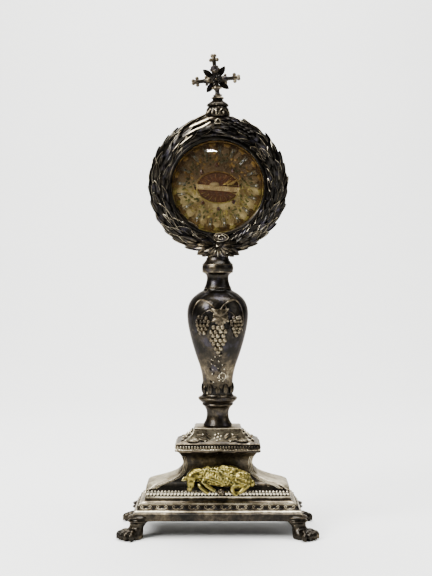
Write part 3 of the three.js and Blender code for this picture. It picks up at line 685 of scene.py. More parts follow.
def makeTurnedPieces():
    spool = np.vstack([smoothLine(spoolLook["profile"], 4), smoothLine(spoolLook["rings"], 3)])
    shape = addTurned(Shape(), spool, 96)
    makePiece("stem_spool_silver", shape, stemSilver, ["stem_spool"])
    collar = np.vstack([smoothLine(collarLook["lower"], 4), collarLook["band"],
                        smoothLine(collarLook["upper"], 4)])
    shape = addTurned(Shape(), collar, 96)
    makePiece("stem_collar_silver", shape, stemSilver, ["stem_collar"])


# Baluster: a pear-shaped stem with two embossed faces of vine leaf and grapes.
balusterLook = {
    "profile": [(9.6, 92.4), (10.0, 93.0), (10.1, 96.0), (10.3, 103.3), (11.8, 110.4), (15.0, 119.8),
                (17.8, 129.3), (19.9, 138.8), (20.55, 145.5), (20.2, 150.2), (19.0, 153.9), (16.8, 157.2),
                (12.9, 160.4), (10.0, 162.0), (9.2, 163.3)],
    "steps": 220,
    "ground": 0.09,
    # Points on a face are distance round from its middle and height.
    "contour": [(1.4, 149.6), (4.0, 152.6), (7.8, 155.2), (12.4, 155.9), (16.4, 153.0), (19.0, 148.0),
                (20.0, 142.0), (19.6, 135.5)],
    "tendril": [(1.0, 150.0), (3.4, 148.6), (5.6, 150.4), (5.0, 152.4), (3.0, 152.0)],
    "twigs": [((0.4, 148.2), (4.2, 153.4)), ((-1.4, 150.4), (3.0, 146.4))],
    "stalk": [(0.5, 149.5), (5.5, 149.4), (9.8, 147.4), (11.4, 145.5)],
    "leaf": (1.8, 145.2, 7.6),             # round, height and size
    "grapeRadius": 1.72,
    "middleBunch": (0.3, 138.2, [3, 4, 3, 4, 3, 2, 1], 0.92),  # round, top, grapes in each row, size
    "sideBunches": [(-10.1, 144.6, [3, 4, 4, 3, 2], 0.84), (12.9, 144.4, [3, 4, 4, 3, 2, 1], 0.78)],
    "lowBits": 34,
    "leafBits": 26,
    "calyxLeaves": 12,
}
balusterLine = smoothLine(balusterLook["profile"], 8)


def onBaluster(around, z, proud=0.0, face=0.0):  # distance round from the middle of a face, and height
    radius = float(np.interp(z, balusterLine[:, 1], balusterLine[:, 0]))
    angle = around / max(radius, 9) - math.pi / 2 + face
    slope = float(np.interp(z + 0.5, balusterLine[:, 1], balusterLine[:, 0])
                  - np.interp(z - 0.5, balusterLine[:, 1], balusterLine[:, 0]))
    normal = unit([math.cos(angle), math.sin(angle), -slope])
    return np.array([radius * math.cos(angle), radius * math.sin(angle), z]) + normal * proud, normal


def onPath(points, proud, face, per=6):  # a smooth path that lies on the baluster
    return np.array([onBaluster(x, z, proud, face)[0] for x, z in smoothLine(points, per)])


def addVineLeaf(shape, around, z, size, face):
    lobes = [(-1.57, 1.0), (-0.45, 0.86), (0.75, 0.92), (2.4, 0.92), (3.6, 0.86)]
    angles = np.linspace(-math.pi / 2, 1.5 * math.pi, 90, endpoint=False)

    def edge(angle):
        reach = 0.62
        for middle, length in lobes:
            away = abs(math.remainder(angle - middle, 2 * math.pi))
            reach = max(reach, length * (1 - 1.25 * away) if away < 0.5 else 0)
        return reach * (1 + 0.07 * math.sin(angle * 19))

    rings = []
    for rho in (1.06, 1.0, 0.86, 0.7, 0.52, 0.34, 0.16):
        ring = []
        for angle in angles:
            reach = edge(angle) * size * rho
            away = [math.remainder(angle - middle, 2 * math.pi) * reach / size for middle, length in lobes]
            vein = max(math.exp(-(a / 0.05) ** 2) for a in away)
            cup = 0.75 * math.sin(math.pi * min(rho, 1) * 0.8) + 0.3
            height = -0.5 if rho > 1.0 else 0.25 + cup * (0.7 + 0.2 * math.cos(angle * 5 + 1)) + 0.3 * vein
            x, up = around + reach * math.cos(angle), z + 1.08 * reach * math.sin(angle)
            ring.append(onBaluster(x, up, height, face)[0])
        rings.append(ring)
    addSkin(shape, rings, capFirst=False)


def addGrapes(shape, around, top, rows, size, face):
    radius = balusterLook["grapeRadius"] * size
    for k, count in enumerate(rows):
        for i in range(count):
            x = around + (i - (count - 1) / 2) * radius * 1.86 + chance.uniform(-0.3, 0.3)
            z = top - k * radius * 1.72 + chance.uniform(-0.3, 0.3)
            spot, normal = onBaluster(x, z, 0.45 + chance.uniform(0, 0.5), face)
            addBall(shape, spot, (radius, radius, radius * 1.05), None, 12, 9)


def makeBaluster():
    steps = balusterLook["steps"]
    angles = allRound(steps)
    facing = np.clip((np.abs(np.sin(angles)) - 0.35) * 3, 0, 1)
    rings = []
    for radius, z in smoothLine(balusterLine, 2):
        ring = np.column_stack([radius * np.cos(angles), radius * np.sin(angles), np.full(steps, z)])
        rough = ripple(ring, 2.4, 5) * balusterLook["ground"] * facing
        rough = rough * np.clip((z - 96) / 6, 0, 1) * np.clip((158 - z) / 4, 0, 1)  # none at the ends
        ring[:, :2] *= (1 + rough / radius)[:, None]
        rings.append(ring)
    shape, vine = addSkin(Shape(), rings), Shape()
    for face in (0.0, math.pi):
        addBalusterFace(shape, vine, face)
    for k in range(balusterLook["calyxLeaves"]):
        face = k * 2 * math.pi / balusterLook["calyxLeaves"]
        base, normal = onBaluster(0, 92.8, 0.1, face)
        tip, normal = onBaluster(0, 98.3 + 2.0 * (k % 2), 0.15, face)
        addLeaf(vine, base, tip, normal, 4.6, 0.5, 0.4, 0.9, -0.2, 9, 0.55, 0.25)
    makePiece("baluster_vine_silver", vine, vineSilver)
    makePiece("baluster_silver", shape, balusterSilver, ["baluster"])


def addBalusterFace(shape, vine, face):
    look = balusterLook
    for way in (-1, 1):
        def mirrored(line):
            return [(x * way, z) for x, z in line]

        path = onPath(mirrored(look["contour"]), 0.05, face)
        radii = np.interp(np.linspace(0, 1, len(path)), [0, 0.15, 0.5, 1], [0.4, 0.7, 0.6, 0.15])
        addTube(shape, path, radii, 9)
        path = onPath(mirrored(look["tendril"]), 0.15, face)
        addTube(shape, path, np.linspace(0.42, 0.22, len(path)), 7)
        for a, b in look["twigs"]:
            line = [(way * (a[0] + (b[0] - a[0]) * t), a[1] + (b[1] - a[1]) * t) for t in (0, 0.5, 1)]
            addTube(shape, onPath(line, 0.15, face, 3), 0.34, 7)
        addTube(shape, onPath(mirrored(look["stalk"]), 0.1, face), 0.32, 7)
    addVineLeaf(vine, *look["leaf"], face)
    addGrapes(vine, *look["middleBunch"], face)
    # painted shade: the side bunches take the darker baluster finish, the middle bunch the lighter vine
    # finish
    for bunch in look["sideBunches"]:
        addGrapes(shape, *bunch, face)
    for k in range(look["lowBits"]):  # berries and small leaves low on the face
        x, z = chance.uniform(-4.6, 4.6), 100.5 + 20.0 * spread(k, goldenShare)
        turn = chance.uniform(-1.2, 1.2)
        base, normal = onBaluster(x, z, 0.02, face)
        tip, normal = onBaluster(x + 2.2 * math.sin(turn), z + 2.2 * math.cos(turn), 0.12, face)
        if k % 3:
            addBall(shape, base + normal * 0.1, (0.42, 0.42, 0.5), None, 8, 6)
        else:
            addLeaf(vine, base, tip, normal, chance.uniform(0.9, 1.6), 0.2, 0.25, 0.5, 0.1, 6)
    for k in range(look["leafBits"]):  # and round the vine leaf
        x, z = chance.uniform(-9.5, 9.5), 137.0 + 13.0 * spread(k, goldenShare)
        turn = chance.uniform(-3.1, 3.1)
        base, normal = onBaluster(x, z, 0.02, face)
        tip, normal = onBaluster(x + 2.6 * math.sin(turn), z + 2.6 * math.cos(turn), 0.15, face)
        addLeaf(vine, base, tip, normal, chance.uniform(0.9, 1.5), 0.2, 0.25, 0.5, 0.1, 6)
    ring = [(3.2 + 2.2 * math.cos(a), 105.0 + 2.3 * math.sin(a)) for a in np.linspace(0, 2 * math.pi, 17)]
    addTube(shape, onPath(ring, 0.08, face, 2), 0.3, 7)


makePedestal()
makeCap()
makeTurnedPieces()
makeBaluster()
print("pedestal and stem ready")


# Wreath: two laurel branches in a ring. "around" goes round a branch, 0 outward and 90 to the front.
wreathLook = {
    "centre": 232.9,
    "ring": 39.7,
    "half": (6.9, 5.9),                    # half width across the ring and half depth, at the leaf tips
    "core": 0.56,
    "coreSteps": (120, 14),
    "leafLength": 15.5,
    "leafWidth": 5.6,
    "frontRows": (-4, 33, 68, 103, 138, 172),
    "backRows": (208, 244, 282, 320),
    "frontCount": {-1: 13, 1: 15},
    "backCount": 11,
    "berries": 4,
}


def onWreath(side, turn, around, reach):  # turn goes up from the bottom of the ring
    radial = np.array([side * math.sin(turn), 0, -math.cos(turn)])
    wide, deep = wreathLook["half"]
    angle = math.radians(around)
    offset = radial * wide * math.cos(angle) + np.array([0, -deep * math.sin(angle), 0])
    normal = unit(radial * deep * math.cos(angle) + np.array([0, -wide * math.sin(angle), 0]))
    middle = np.array([0, 0, wreathLook["centre"]]) + radial * wreathLook["ring"]
    return middle + offset * reach, normal


def addBranchLeaf(shape, edges, side, turn, around, reach, length, width):
    base, normal = onWreath(side, turn, 90 + (around - 90) * 0.9, 0.58)
    tip, tipNormal = onWreath(side, turn + length / wreathLook["ring"], around, reach)
    rings = addLeaf(shape, base, tip, normal + tipNormal, width, 1.1, 0.5, 1.1, 0.5, 12, 0.46, 0.42)
    for k in (0, 3, 6):  # fine lines of bare metal on the rims and the rib, in a light finish that also paints the edge glints
        if chance.random() < 0.4:
            start = chance.integers(2, 6)
            addTube(edges, rings[start:, k], np.linspace(0.06, 0.14, len(rings) - start), 5)


def makeWreath():
    look = wreathLook
    steps, sides = look["coreSteps"]
    degrees = np.linspace(0, 360, sides, endpoint=False)
    rings = [[onWreath(1, turn, around, look["core"])[0] for around in degrees] for turn in allRound(steps)]
    shape, edges = Shape().add(rings, gridFaces(steps, sides, True)), Shape()
    for side in (-1, 1):
        for rows, count in ((look["frontRows"], look["frontCount"][side]),
                            (look["backRows"], look["backCount"])):
            for r, around in enumerate(rows):
                for k in range(count):
                    reachUp = 168 if 120 < around < 200 else 156
                    turn = math.radians(6 + reachUp * (k + (r * 0.37) % 1) / count)
                    reach = 1.0 + chance.uniform(-0.05, 0.05)
                    if side > 0 and around < 10:
                        reach += 0.1 * (k % 2)
                    if 150 < around < 200:
                        reach += -0.22 if side > 0 and turn < 1.4 else 0.1
                    length = look["leafLength"] * chance.uniform(0.85, 1.1) * (0.86 if side > 0 else 1.0)
                    width = look["leafWidth"] * chance.uniform(0.85, 1.1)
                    place = around + chance.uniform(-6, 6)
                    addBranchLeaf(shape, edges, side, turn, place, reach, length, width)
    for k in range(look["berries"]):
        side = 1 if k % 2 else -1
        spot, normal = onWreath(side, chance.uniform(0.3, 2.7), chance.uniform(40, 130), 0.96)
        addBall(shape, spot, (0.9, 0.9, 0.9), None, 10, 8)
    addWreathTop(shape)
    addWreathTie(shape)
    makePiece("wreath_edges_silver", edges, edgeGlintSilver)
    makePiece("wreath_silver", shape, wreathSilver, ["wreath"])


# Plain straps that cross the leaves at the upper left, in a light finish that paints their highlight:
# points, widths along them, the way they face.
strapLook = {
    "thick": 1.2,
    "straps": [
        ([(-19.0, -6.4, 271.2), (-14.0, -7.3, 273.4), (-9.6, -8.1, 275.2), (-5.8, -8.8, 276.8)],
         [1.2, 2.3, 2.2, 1.4], (-0.377, -0.892, 0.249)),
        ([(-21.0, -6.8, 266.2), (-15.6, -7.8, 269.2), (-10.0, -8.8, 271.4), (-4.8, -9.7, 274.4)],
         [0.9, 1.7, 1.7, 1.0], (-0.377, -0.892, 0.249)),
        ([(-25.4, -6.6, 259.4), (-21.4, -7.3, 262.6), (-17.0, -7.9, 265.6)],
         [0.4, 0.9, 0.5], (-0.377, -0.892, 0.249)),
        ([(-22.0, -5.2, 272.4), (-16.0, -5.7, 276.2), (-11.0, -6.3, 278.7), (-6.6, -6.8, 280.6)],
         [0.5, 1.6, 1.6, 1.0], (-0.5, -0.5, 0.8))],
}


def addBlade(shape, line, widths, outward):  # a smooth strap, slightly rounded across
    path = smoothLine(line, 6)
    half = np.interp(np.linspace(0, 1, len(path)), np.linspace(0, 1, len(widths)), widths) / 2
    ways = np.gradient(path, axis=0)
    rings = []
    for point, way, reach in zip(path, ways, half):
        x, y, z = turnTo(way, outward)
        rings.append([point + y * reach * a + z * reach * b for a, b in
                      [(-1, -0.08), (-0.75, 0.04), (-0.3, 0.09), (0, 0.1), (0.3, 0.09), (0.75, 0.04),
                       (1, -0.08)]]
                     + [point - z * strapLook["thick"]])
    addSkin(shape, rings)


def makeStraps():
    shape = Shape()
    for strap in strapLook["straps"]:
        addBlade(shape, *strap)
    makePiece("wreath_straps_silver", shape, strapHighlightSilver)


# Top of the wreath: two low mounds under the dome, leaves that close over them and a small raised triangle.
topLook = {
    "leaves": [((-14.5, -2.2, 274.2), (-4.6, -2.4, 278.6), 3.0),
               ((17.5, -5.6, 270.4), (8.0, -7.0, 273.6), 3.4),
               ((13.0, -6.6, 268.0), (1.6, -7.8, 271.4), 3.0),
               ((9.0, -7.4, 266.6), (-4.0, -7.8, 268.8), 2.6),
               ((14.5, -1.2, 275.4), (5.0, -2.0, 278.6), 2.8),
               ((-14.5, 3.4, 274.4), (-3.0, 4.6, 278.2), 3.2),
               ((14.5, 3.4, 274.4), (3.0, 4.6, 278.2), 3.2)],
    "triangle": [(-2.3, 273.5), (0.2, 277.0), (2.3, 273.7)],
    "shoulderLeaves": 16,
}


def addWreathTop(shape):
    addBall(shape, (0, 0.2, 277.0), (10.4, 6.6, 4.0), None, 24, 12)
    addBall(shape, (0, 0.0, 272.6), (11.5, 5.6, 5.6), None, 24, 12)
    for base, tip, width in topLook["leaves"]:
        outward = (0.1 * (base[0] + tip[0]), -4 if base[1] < 0 else 3, 3)
        addLeaf(shape, base, tip, outward, width, 0.6, 0.3, 1.0, 0.1, 12, 0.5, 0.2)
    corners = topLook["triangle"]
    edge = []
    for a, b in zip(corners, corners[1:] + corners[:1]):
        edge += [(a[0] + (b[0] - a[0]) * t, -8.2, a[1] + (b[1] - a[1]) * t) for t in (0.12, 0.5, 0.88)]
    addTube(shape, edge + edge[:1], 0.3, 8)
    addBall(shape, (0.1, -7.3, 274.8), (2.4, 1.0, 2.0), None, 16, 10)
    for k in range(topLook["shoulderLeaves"]):  # short overlapping leaves on the right shoulder
        row, place = k % 3, k // 3
        drop = 277.6 - 1.25 * place - 0.09 * place**2 - 2.7 * row
        tip = np.array([5.4 + 3.1 * place + 0.9 * row, -8.6 + 0.18 * place, drop])
        base = tip + (5.6, 1.6, -2.6 + chance.uniform(-0.9, 0.9))
        addLeaf(shape, base, tip, (0.2, -1, 0.5), 2.6, 0.8, 0.4, 1.0, 0.2, 9, 0.5, 0.25)


# Tie of the wreath, cast with it: a flower, a fan of leaves below it and pairs of leaves beside it.
tieLook = {
    "seat": [(6.2, 184.0), (6.0, 184.6), (5.4, 186.5), (5.2, 189.5), (5.2, 192.0)],
    "fan": [(-64, 8.4, 4.0), (-38, 8.0, 4.6), (-12, 7.8, 4.8), (14, 7.9, 4.8), (40, 8.6, 4.8),
            (66, 9.6, 4.2)],
    "sideLeaves": [((-14.5, -5.4, 193.0), 3.2), ((-11.0, -6.4, 195.8), 3.0), ((-17.0, -4.6, 190.4), 3.6),
                   ((-10.5, -5.0, 188.2), 3.8), ((15.5, -5.4, 195.4), 3.2), ((12.0, -5.6, 191.8), 3.2),
                   ((16.5, -4.8, 192.0), 3.6), ((10.5, -5.0, 187.8), 3.8)],
    "lowLeaves": [(-14.0, 186.2, 4.6), (-10.6, 184.9, 4.8), (-6.6, 184.3, 4.6), (14.6, 186.0, 4.6),
                  (11.0, 184.8, 4.8), (7.0, 184.2, 4.6)],
    "petals": 8,
    "curl": [(5.2, 197.4), (3.8, 199.0), (1.4, 199.0), (0.4, 197.4), (1.6, 196.2), (3.2, 196.6),
             (3.0, 197.8), (2.0, 197.7)],
    "blades": [(9.5, 195.8, 13.5, 200.4), (12.0, 196.6, 16.4, 201.6), (14.6, 197.6, 18.8, 203.2),
               (7.6, 194.8, 11.0, 198.6)],
}


def addWreathTie(shape):
    look = tieLook
    addTurned(shape, smoothLine(look["seat"], 3), 40)
    start = np.array([-0.2, -6.6, 191.6])
    for degrees, length, width in look["fan"]:
        turn = math.radians(degrees)
        way = np.array([math.sin(turn), 0, -math.cos(turn)])
        base, tip = start + way * 1.0, start + way * length + (0, 1.0, 0)
        addLeaf(shape, base, tip, (0, -1, -0.2), width, 1.5, 0.5, 1.2, -0.4, 12, 0.62, 0.4)
        for aside in (-0.2, 0.2):
            vein = np.array([math.sin(turn + aside), 0, -math.cos(turn + aside)])
            path = [start + vein * s * length + (0, 0.2 - 1.3 * math.sin(math.pi * min(s + 0.1, 1)), 0)
                    for s in (0.25, 0.45, 0.65, 0.85)]
            addTube(shape, path, 0.24, 6)
    for tip, width in look["sideLeaves"]:
        base = start + (np.sign(tip[0]) * 1.5, 0, 0.2)
        addLeaf(shape, base, tip, (0, -1, 0.25), width, 1.3, 0.5, 1.1, 0.3, 14, 0.5, 0.3)
    for x, z, width in look["lowLeaves"]:
        base, tip = (0.28 * x, -5.2, 191.6), (x, -4.2, z)
        addLeaf(shape, base, tip, (0, -1, 0.1), width, 1.3, 0.5, 1.2, -0.3, 12, 0.6, 0.4)
    middle = np.array([-0.4, -8.6, 192.0])
    for k in range(look["petals"]):
        angle = k * 2 * math.pi / look["petals"] + 0.3
        way = np.array([math.cos(angle), 0, math.sin(angle)])
        addLeaf(shape, middle + way * 0.4, middle + way * 3.7, (0, -1, 0), 1.3, 0.4, 0.4, 0.7, 0.3, 8)
    addBall(shape, middle + (0, -0.45, 0), (0.85, 0.7, 0.85), None, 12, 8)
    eye = [(2.3 + 4.9 * math.cos(a), -7.45, 197.7 + 2.9 * math.sin(a) * (1 - 0.25 * math.cos(a)))
           for a in np.linspace(0, 2 * math.pi, 29)]
    addTube(shape, eye, 0.3, 8)
    addTube(shape, [(x, -7.7, z) for x, z in smoothLine(look["curl"], 4)], 0.26, 7)
    addBall(shape, (2.3, -6.6, 197.7), (4.8, 1.3, 2.8), None, 20, 10)
    for x0, z0, x1, z1 in look["blades"]:
        base, tip = (x0, -6.2, z0), (x1, -6.8, z1)
        addLeaf(shape, base, tip, (-0.2, -1, 0.3), 1.9, 0.6, 0.4, 0.9, 0.3, 9, 0.6, 0.25)
    addLeaf(shape, (-1.2, -6.6, 194.6), (-7.0, -6.4, 200.6), (0, -1, 0.2), 4.2, 0.8, 0.4, 1.2, 0.2, 12)


# Case: a shallow round box with a rolled rim, then its glass and what is shut inside.
caseLook = {
    "centre": 231.9,
    "shell": [(0.5, 6.85), (32.4, 6.85), (32.7, 6.5), (32.7, -3.2), (32.5, -3.6), (31.6, -3.6),
              (31.4, -3.8), (31.4, -4.2), (31.7, -4.4), (32.3, -4.4), (33.0, -4.2), (33.7, -3.7),
              (34.1, -3.0), (34.3, -2.2), (34.3, 6.6), (34.1, 7.2), (33.6, 7.6), (32.4, 7.7), (31.6, 8.0),
              (30.8, 8.35), (30.0, 8.4), (29.3, 8.1), (28.8, 7.8), (20.0, 8.0), (0.5, 8.1)],
    "steps": 128,
    "lips": [(-88, -22, 1.5), (184, 206, 0.7)],  # strips of lighter metal inside the rim: start, stop, width
    "pane": [(0.5, -2.1), (32.2, -2.1), (32.4, -2.3), (32.4, -2.95), (32.2, -3.2), (31.9, -3.25),
             (31.4, -3.25), (30.9, -3.25), (20.0, -3.25), (0.5, -3.25)],
}


def makeDisc(profile):  # rows of radius and depth, turned about the case's own middle
    steps = caseLook["steps"]
    angles = allRound(steps)
    centre = caseLook["centre"]
    rings = [np.stack([r * np.cos(angles), np.full(steps, y), centre + r * np.sin(angles)], axis=1)
             for r, y in profile]
    return addSkin(Shape(), rings)


def inCase(across, up, y):
    return np.array([across, y, caseLook["centre"] + up])


def addFlat(shape, outline, front, back, dome=0.0):  # a thin plate with this outline, raised in the middle
    outline = np.asarray(outline, dtype=float)
    middle = outline.mean(axis=0)
    rings = [[inCase(x, z, back) for x, z in outline]]
    for share, lift in ((1.0, 0.35), (0.94, 0.8), (0.6, 0.95), (0.25, 1.0)):
        y = back + (front - dome * (1 - share) - back) * lift
        rings.append([inCase(*(middle + (point - middle) * share), y) for point in outline])
    addSkin(shape, rings)


def oval(halfX, halfZ, turn=0.0, middle=(0, 0), count=40, wave=0.0, waves=0):
    points = []
    cos, sin = math.cos(turn), math.sin(turn)
    for angle in allRound(count):
        reach = 1 + wave * math.cos(waves * angle)
        x, z = halfX * reach * math.cos(angle), halfZ * reach * math.sin(angle)
        points.append((middle[0] + x * cos - z * sin, middle[1] + x * sin + z * cos))
    return points


def makeCase():
    makePiece("case_silver", makeDisc(caseLook["shell"]), caseSilver, ["case"])
    makePiece("case_pane", makeDisc(caseLook["pane"]), paneFinish, ["glass"])
    lip = Shape()
    for start, stop, widest in caseLook["lips"]:
        turns = np.radians(np.linspace(start, stop, 24))
        widths = 0.15 + widest * np.sin(np.linspace(0, math.pi, 24)) ** 0.8
        section = ((0, 0.1), (0, -0.3), (0.5, -0.22), (1, 0.05))
        rings = [[inCase(*((31.9 - width * b) * compass(turn)), -3.45 + lift) for b, lift in section]
                 for turn, width in zip(turns, widths)]
        addSkin(lip, rings)
    makePiece("case_lip_silver", lip, lipSilver)


# Relic display: reliquary work of gilt paper, beads and a medallion with a label, all behind the glass.
displayLook = {
    "board": [(0.5, 6.5), (32.3, 6.5), (32.3, 2.0), (31.9, 1.7), (0.5, 1.7)],
    "braidRing": 30.7,
    "beads": 17,                           # pairs of tube beads that stand out like rays
    "firstBead": -103,
    "beadStart": 21.4,
    "beadEnd": 27.8,
    "gems": 8,
    "gemRing": 14.8,
    "sprigs": 150,                         # clipped gilt leaves strewn between the medallion and the beads
    "sprigBand": (15.6, 8.4),
    "medallion": (14.4, 10.4),
    "medallionMiddle": (0.3, -0.4),
    "rays": 20,
    "labelSize": (14.8, 1.6),
    "labelTurn": -0.075,
    "labelMiddle": (-0.2, -0.9),
    "strokeRows": (-0.95, 0.0, 0.95),      # short strokes, not letters
    "gildedSprig": [((5.2, 1.6), (9.0, 4.6), 1.5), ((6.0, 1.2), (10.8, 2.2), 1.5),
                    ((9.0, 2.4), (13.6, 4.6), 1.6), ((3.6, 1.4), (6.6, 2.6), 1.2)],
}


def makeDisplay():
    look = displayLook
    makePiece("relic_ground", makeDisc(look["board"]), groundFinish, ["relic_board"])
    gold, cream, beads, gems, pearls, green = (Shape() for _ in range(6))
    braid = [inCase(*(look["braidRing"] * compass(a)), 0.9) for a in np.linspace(0, 2 * math.pi, 121)]
    addTube(gold, braid, 0.42, 8)
    for k in range(look["beads"]):
        angle = math.radians(look["firstBead"] + k * 360 / look["beads"] + chance.uniform(-2.5, 2.5))
        way = compass(angle)
        across = leftOf(way)
        for side in (-1, 1):
            a = way * look["beadStart"] + across * side * 0.35
            b = way * look["beadEnd"] + across * side * 0.8
            addTube(beads, [inCase(*(a + (b - a) * t), 0.5) for t in np.linspace(0, 1, 5)], 0.3, 7)
        addBall(pearls, inCase(*(way * chance.uniform(24.6, 25.8)), 0.2), (0.6, 0.6, 0.6), None, 12, 9)
        gap = angle + math.pi / look["beads"]
        way = compass(gap)
        place = way * chance.uniform(23.4, 25.0)
        halfX, halfZ = chance.uniform(3.6, 4.6), chance.uniform(2.5, 3.3)
        petal = oval(halfX, halfZ, gap + chance.uniform(-0.4, 0.4), place, 26, 0.09, 5)
        addFlat(cream, petal, 1.0, 1.8, 0.2)
        addFlat(gold, oval(1.5, 2.4, gap, way * 28.6, 20, 0.1, 5), 1.2, 1.8, 0.2)
    addFlat(cream, oval(17.8, 16.2, 0, (0, 0), 96, 0.035, 16), 1.2, 1.8, 0.0)
    addFlat(cream, oval(26.8, 26.4, 0, (0, 0), 170, 0.03, 17), 1.55, 1.75, 0.0)
    for k in range(look["sprigs"]):
        start, width = look["sprigBand"]
        angle, reach = k * 2.39996, start + width * spread(k, secondShare)
        spot = compass(angle) * reach
        turn = angle + chance.uniform(-1.1, 1.1)
        way = compass(turn) * chance.uniform(0.9, 1.6)
        base, tip = inCase(*(spot - way), 0.9), inCase(*(spot + way), 0.6)
        addLeaf(green if k % 5 < 3 else gold, base, tip, (0, -1, 0), chance.uniform(0.9, 1.7),
                0.35, 0.2, 0.5, 0.1, 7)
    for k in range(look["gems"]):
        angle = math.radians(90 - k * 360 / look["gems"] + 2)
        spot = compass(angle) * look["gemRing"]
        addBall(gems, inCase(*spot, 0.9), (1.25, 0.9, 1.5), None, 14, 8)
        other = angle + math.pi / look["gems"]
        spot = compass(other) * (look["gemRing"] - 0.4)
        for p in range(5):
            petal = compass(p * 1.2566 + k)
            base, tip = inCase(*(spot + petal * 0.3), 0.8), inCase(*(spot + petal * 1.8), 0.4)
            addLeaf(cream, base, tip, (0, -1, 0), 1.2, 0.3, 0.2, 0.5, 0.1, 6)
    makeMedallion(gold, cream)
    makePiece("relic_gold", gold, displayGold)
    makePiece("relic_paper", cream, creamFinish)
    makePiece("relic_beads", beads, beadFinish)
    makePiece("relic_pearls", pearls, pearlFinish)
    makePiece("relic_sprigs", green, sprigFinish)
    makePiece("relic_gems", gems, gemFinish)


def makeMedallion(gold, cream):
    look = displayLook
    halfX, halfZ = look["medallion"]
    middleX, middleZ = look["medallionMiddle"]
    velvet = Shape()
    addFlat(velvet, oval(halfX, halfZ, -0.05, look["medallionMiddle"], 64), 0.5, 1.5, 0.2)
    makePiece("relic_velvet", velvet, velvetFinish)
    edge = oval(halfX + 0.2, halfZ + 0.2, -0.05, look["medallionMiddle"], 97)
    for phase in (0.0, math.pi):  # a braid of two threads
        path = []
        for i, (x, z) in enumerate(edge + edge[:1]):
            swing = 1 + 0.022 * math.sin(i * 1.3 + phase)
            path.append(inCase(x * swing, z * swing, 0.45 + 0.22 * math.cos(i * 1.3 + phase)))
        addTube(gold, path, 0.3, 6)
    for k in range(look["rays"]):
        angle = math.radians(k * 360 / look["rays"] + 9)
        cos, sin = compass(angle)
        a, b = (np.array([middleX + halfX * share * cos, middleZ + halfZ * share * sin])
                for share in (0.6, 0.9))
        addTube(gold, [inCase(*(a + (b - a) * t), 0.45) for t in (0, 0.5, 1)], 0.12, 5)
    long, tall = look["labelSize"]
    along = compass(look["labelTurn"])
    up = leftOf(along)
    corners = [(-long, -tall), (long, -tall * 1.05), (long * 1.01, tall), (-long * 0.4, tall * 1.04),
               (-long * 0.99, tall)]
    label = [along * a + up * b + look["labelMiddle"] for a, b in corners]
    slip = Shape()
    addFlat(slip, label, -0.1, 0.5)
    makePiece("relic_label", slip, labelFinish)
    strokes = Shape()
    for row in look["strokeRows"]:
        at = -long + 1.4
        while at < long - 1.6:
            size = chance.uniform(0.5, 1.3)
            spots = [along * (at + size * t) + up * (row + lift) + look["labelMiddle"]
                     for t, lift in ((0, -0.05), (0.5, 0.12), (1, -0.05))]
            addTube(strokes, [inCase(*spot, -0.14) for spot in spots], 0.13, 5)
            at += size + chance.uniform(0.35, 0.7)
    makePiece("relic_strokes", strokes, inkFinish)
    addBall(cream, inCase(-2.2, 1.6, 0.2), (3.3, 1.0, 1.7), None, 24, 12)
    for a, b, width in look["gildedSprig"]:
        addLeaf(gold, inCase(*a, 0.0), inCase(*b, -0.3), (0, -1, 0), width, 0.4, 0.2, 0.5, 0.1, 8)


# Crown: a two stage ribbed dome.
crownLook = {
    "lower": [(7.5, 278.9), (7.8, 279.4), (7.85, 280.6), (7.7, 282.2), (7.3, 283.8), (6.7, 284.9),
              (6.1, 285.3)],
    "upper": [(6.3, 285.6), (7.0, 285.9), (7.25, 286.5), (6.9, 287.3), (5.9, 288.2), (4.8, 288.9),
              (4.1, 289.3)],
    "collar": [(3.9, 289.6), (3.4, 290.2), (3.4, 290.7), (4.1, 291.0), (4.35, 291.4), (4.1, 291.8),
               (3.5, 292.1), (3.2, 292.3)],
    "ribs": 12,
    "ribDepth": 0.05,
    "arch": [(-3.6, 0.2), (-3.2, 2.0), (-1.9, 3.6), (0, 4.3), (1.9, 3.6), (3.2, 2.0), (3.6, 0.2)],
}


def makeCrown():
    look = crownLook
    rows = np.vstack([smoothLine(look["lower"], 4), smoothLine(look["upper"], 4), look["collar"]])

    def ribs(angles, z):
        fade = 1.0 if z < 289.2 else 0.0
        return 1 + look["ribDepth"] * fade * (np.abs(np.cos(angles * look["ribs"] / 2)) ** 0.7 - 0.6)

    shape = addTurned(Shape(), rows, 168, swell=ribs)
    for k in range(look["ribs"] // 2):
        angle = (k + 0.5) * 4 * math.pi / look["ribs"] - math.pi / 2
        way = np.array([math.cos(angle), math.sin(angle), 0])
        across = np.array([-math.sin(angle), math.cos(angle), 0])
        arch = [way * (7.8 - 1.4 * (h / 5.5) ** 2) + across * w + (0, 0, 279.2 + h)
                for w, h in look["arch"]]
        addTube(shape, smoothLine(arch, 3), 0.42, 7)
        addBall(shape, way * 7.4 + (0, 0, 280.9), (0.9, 0.9, 1.0), None, 10, 8)
    makePiece("crown_silver", shape, crownSilver, ["crown_dome"])


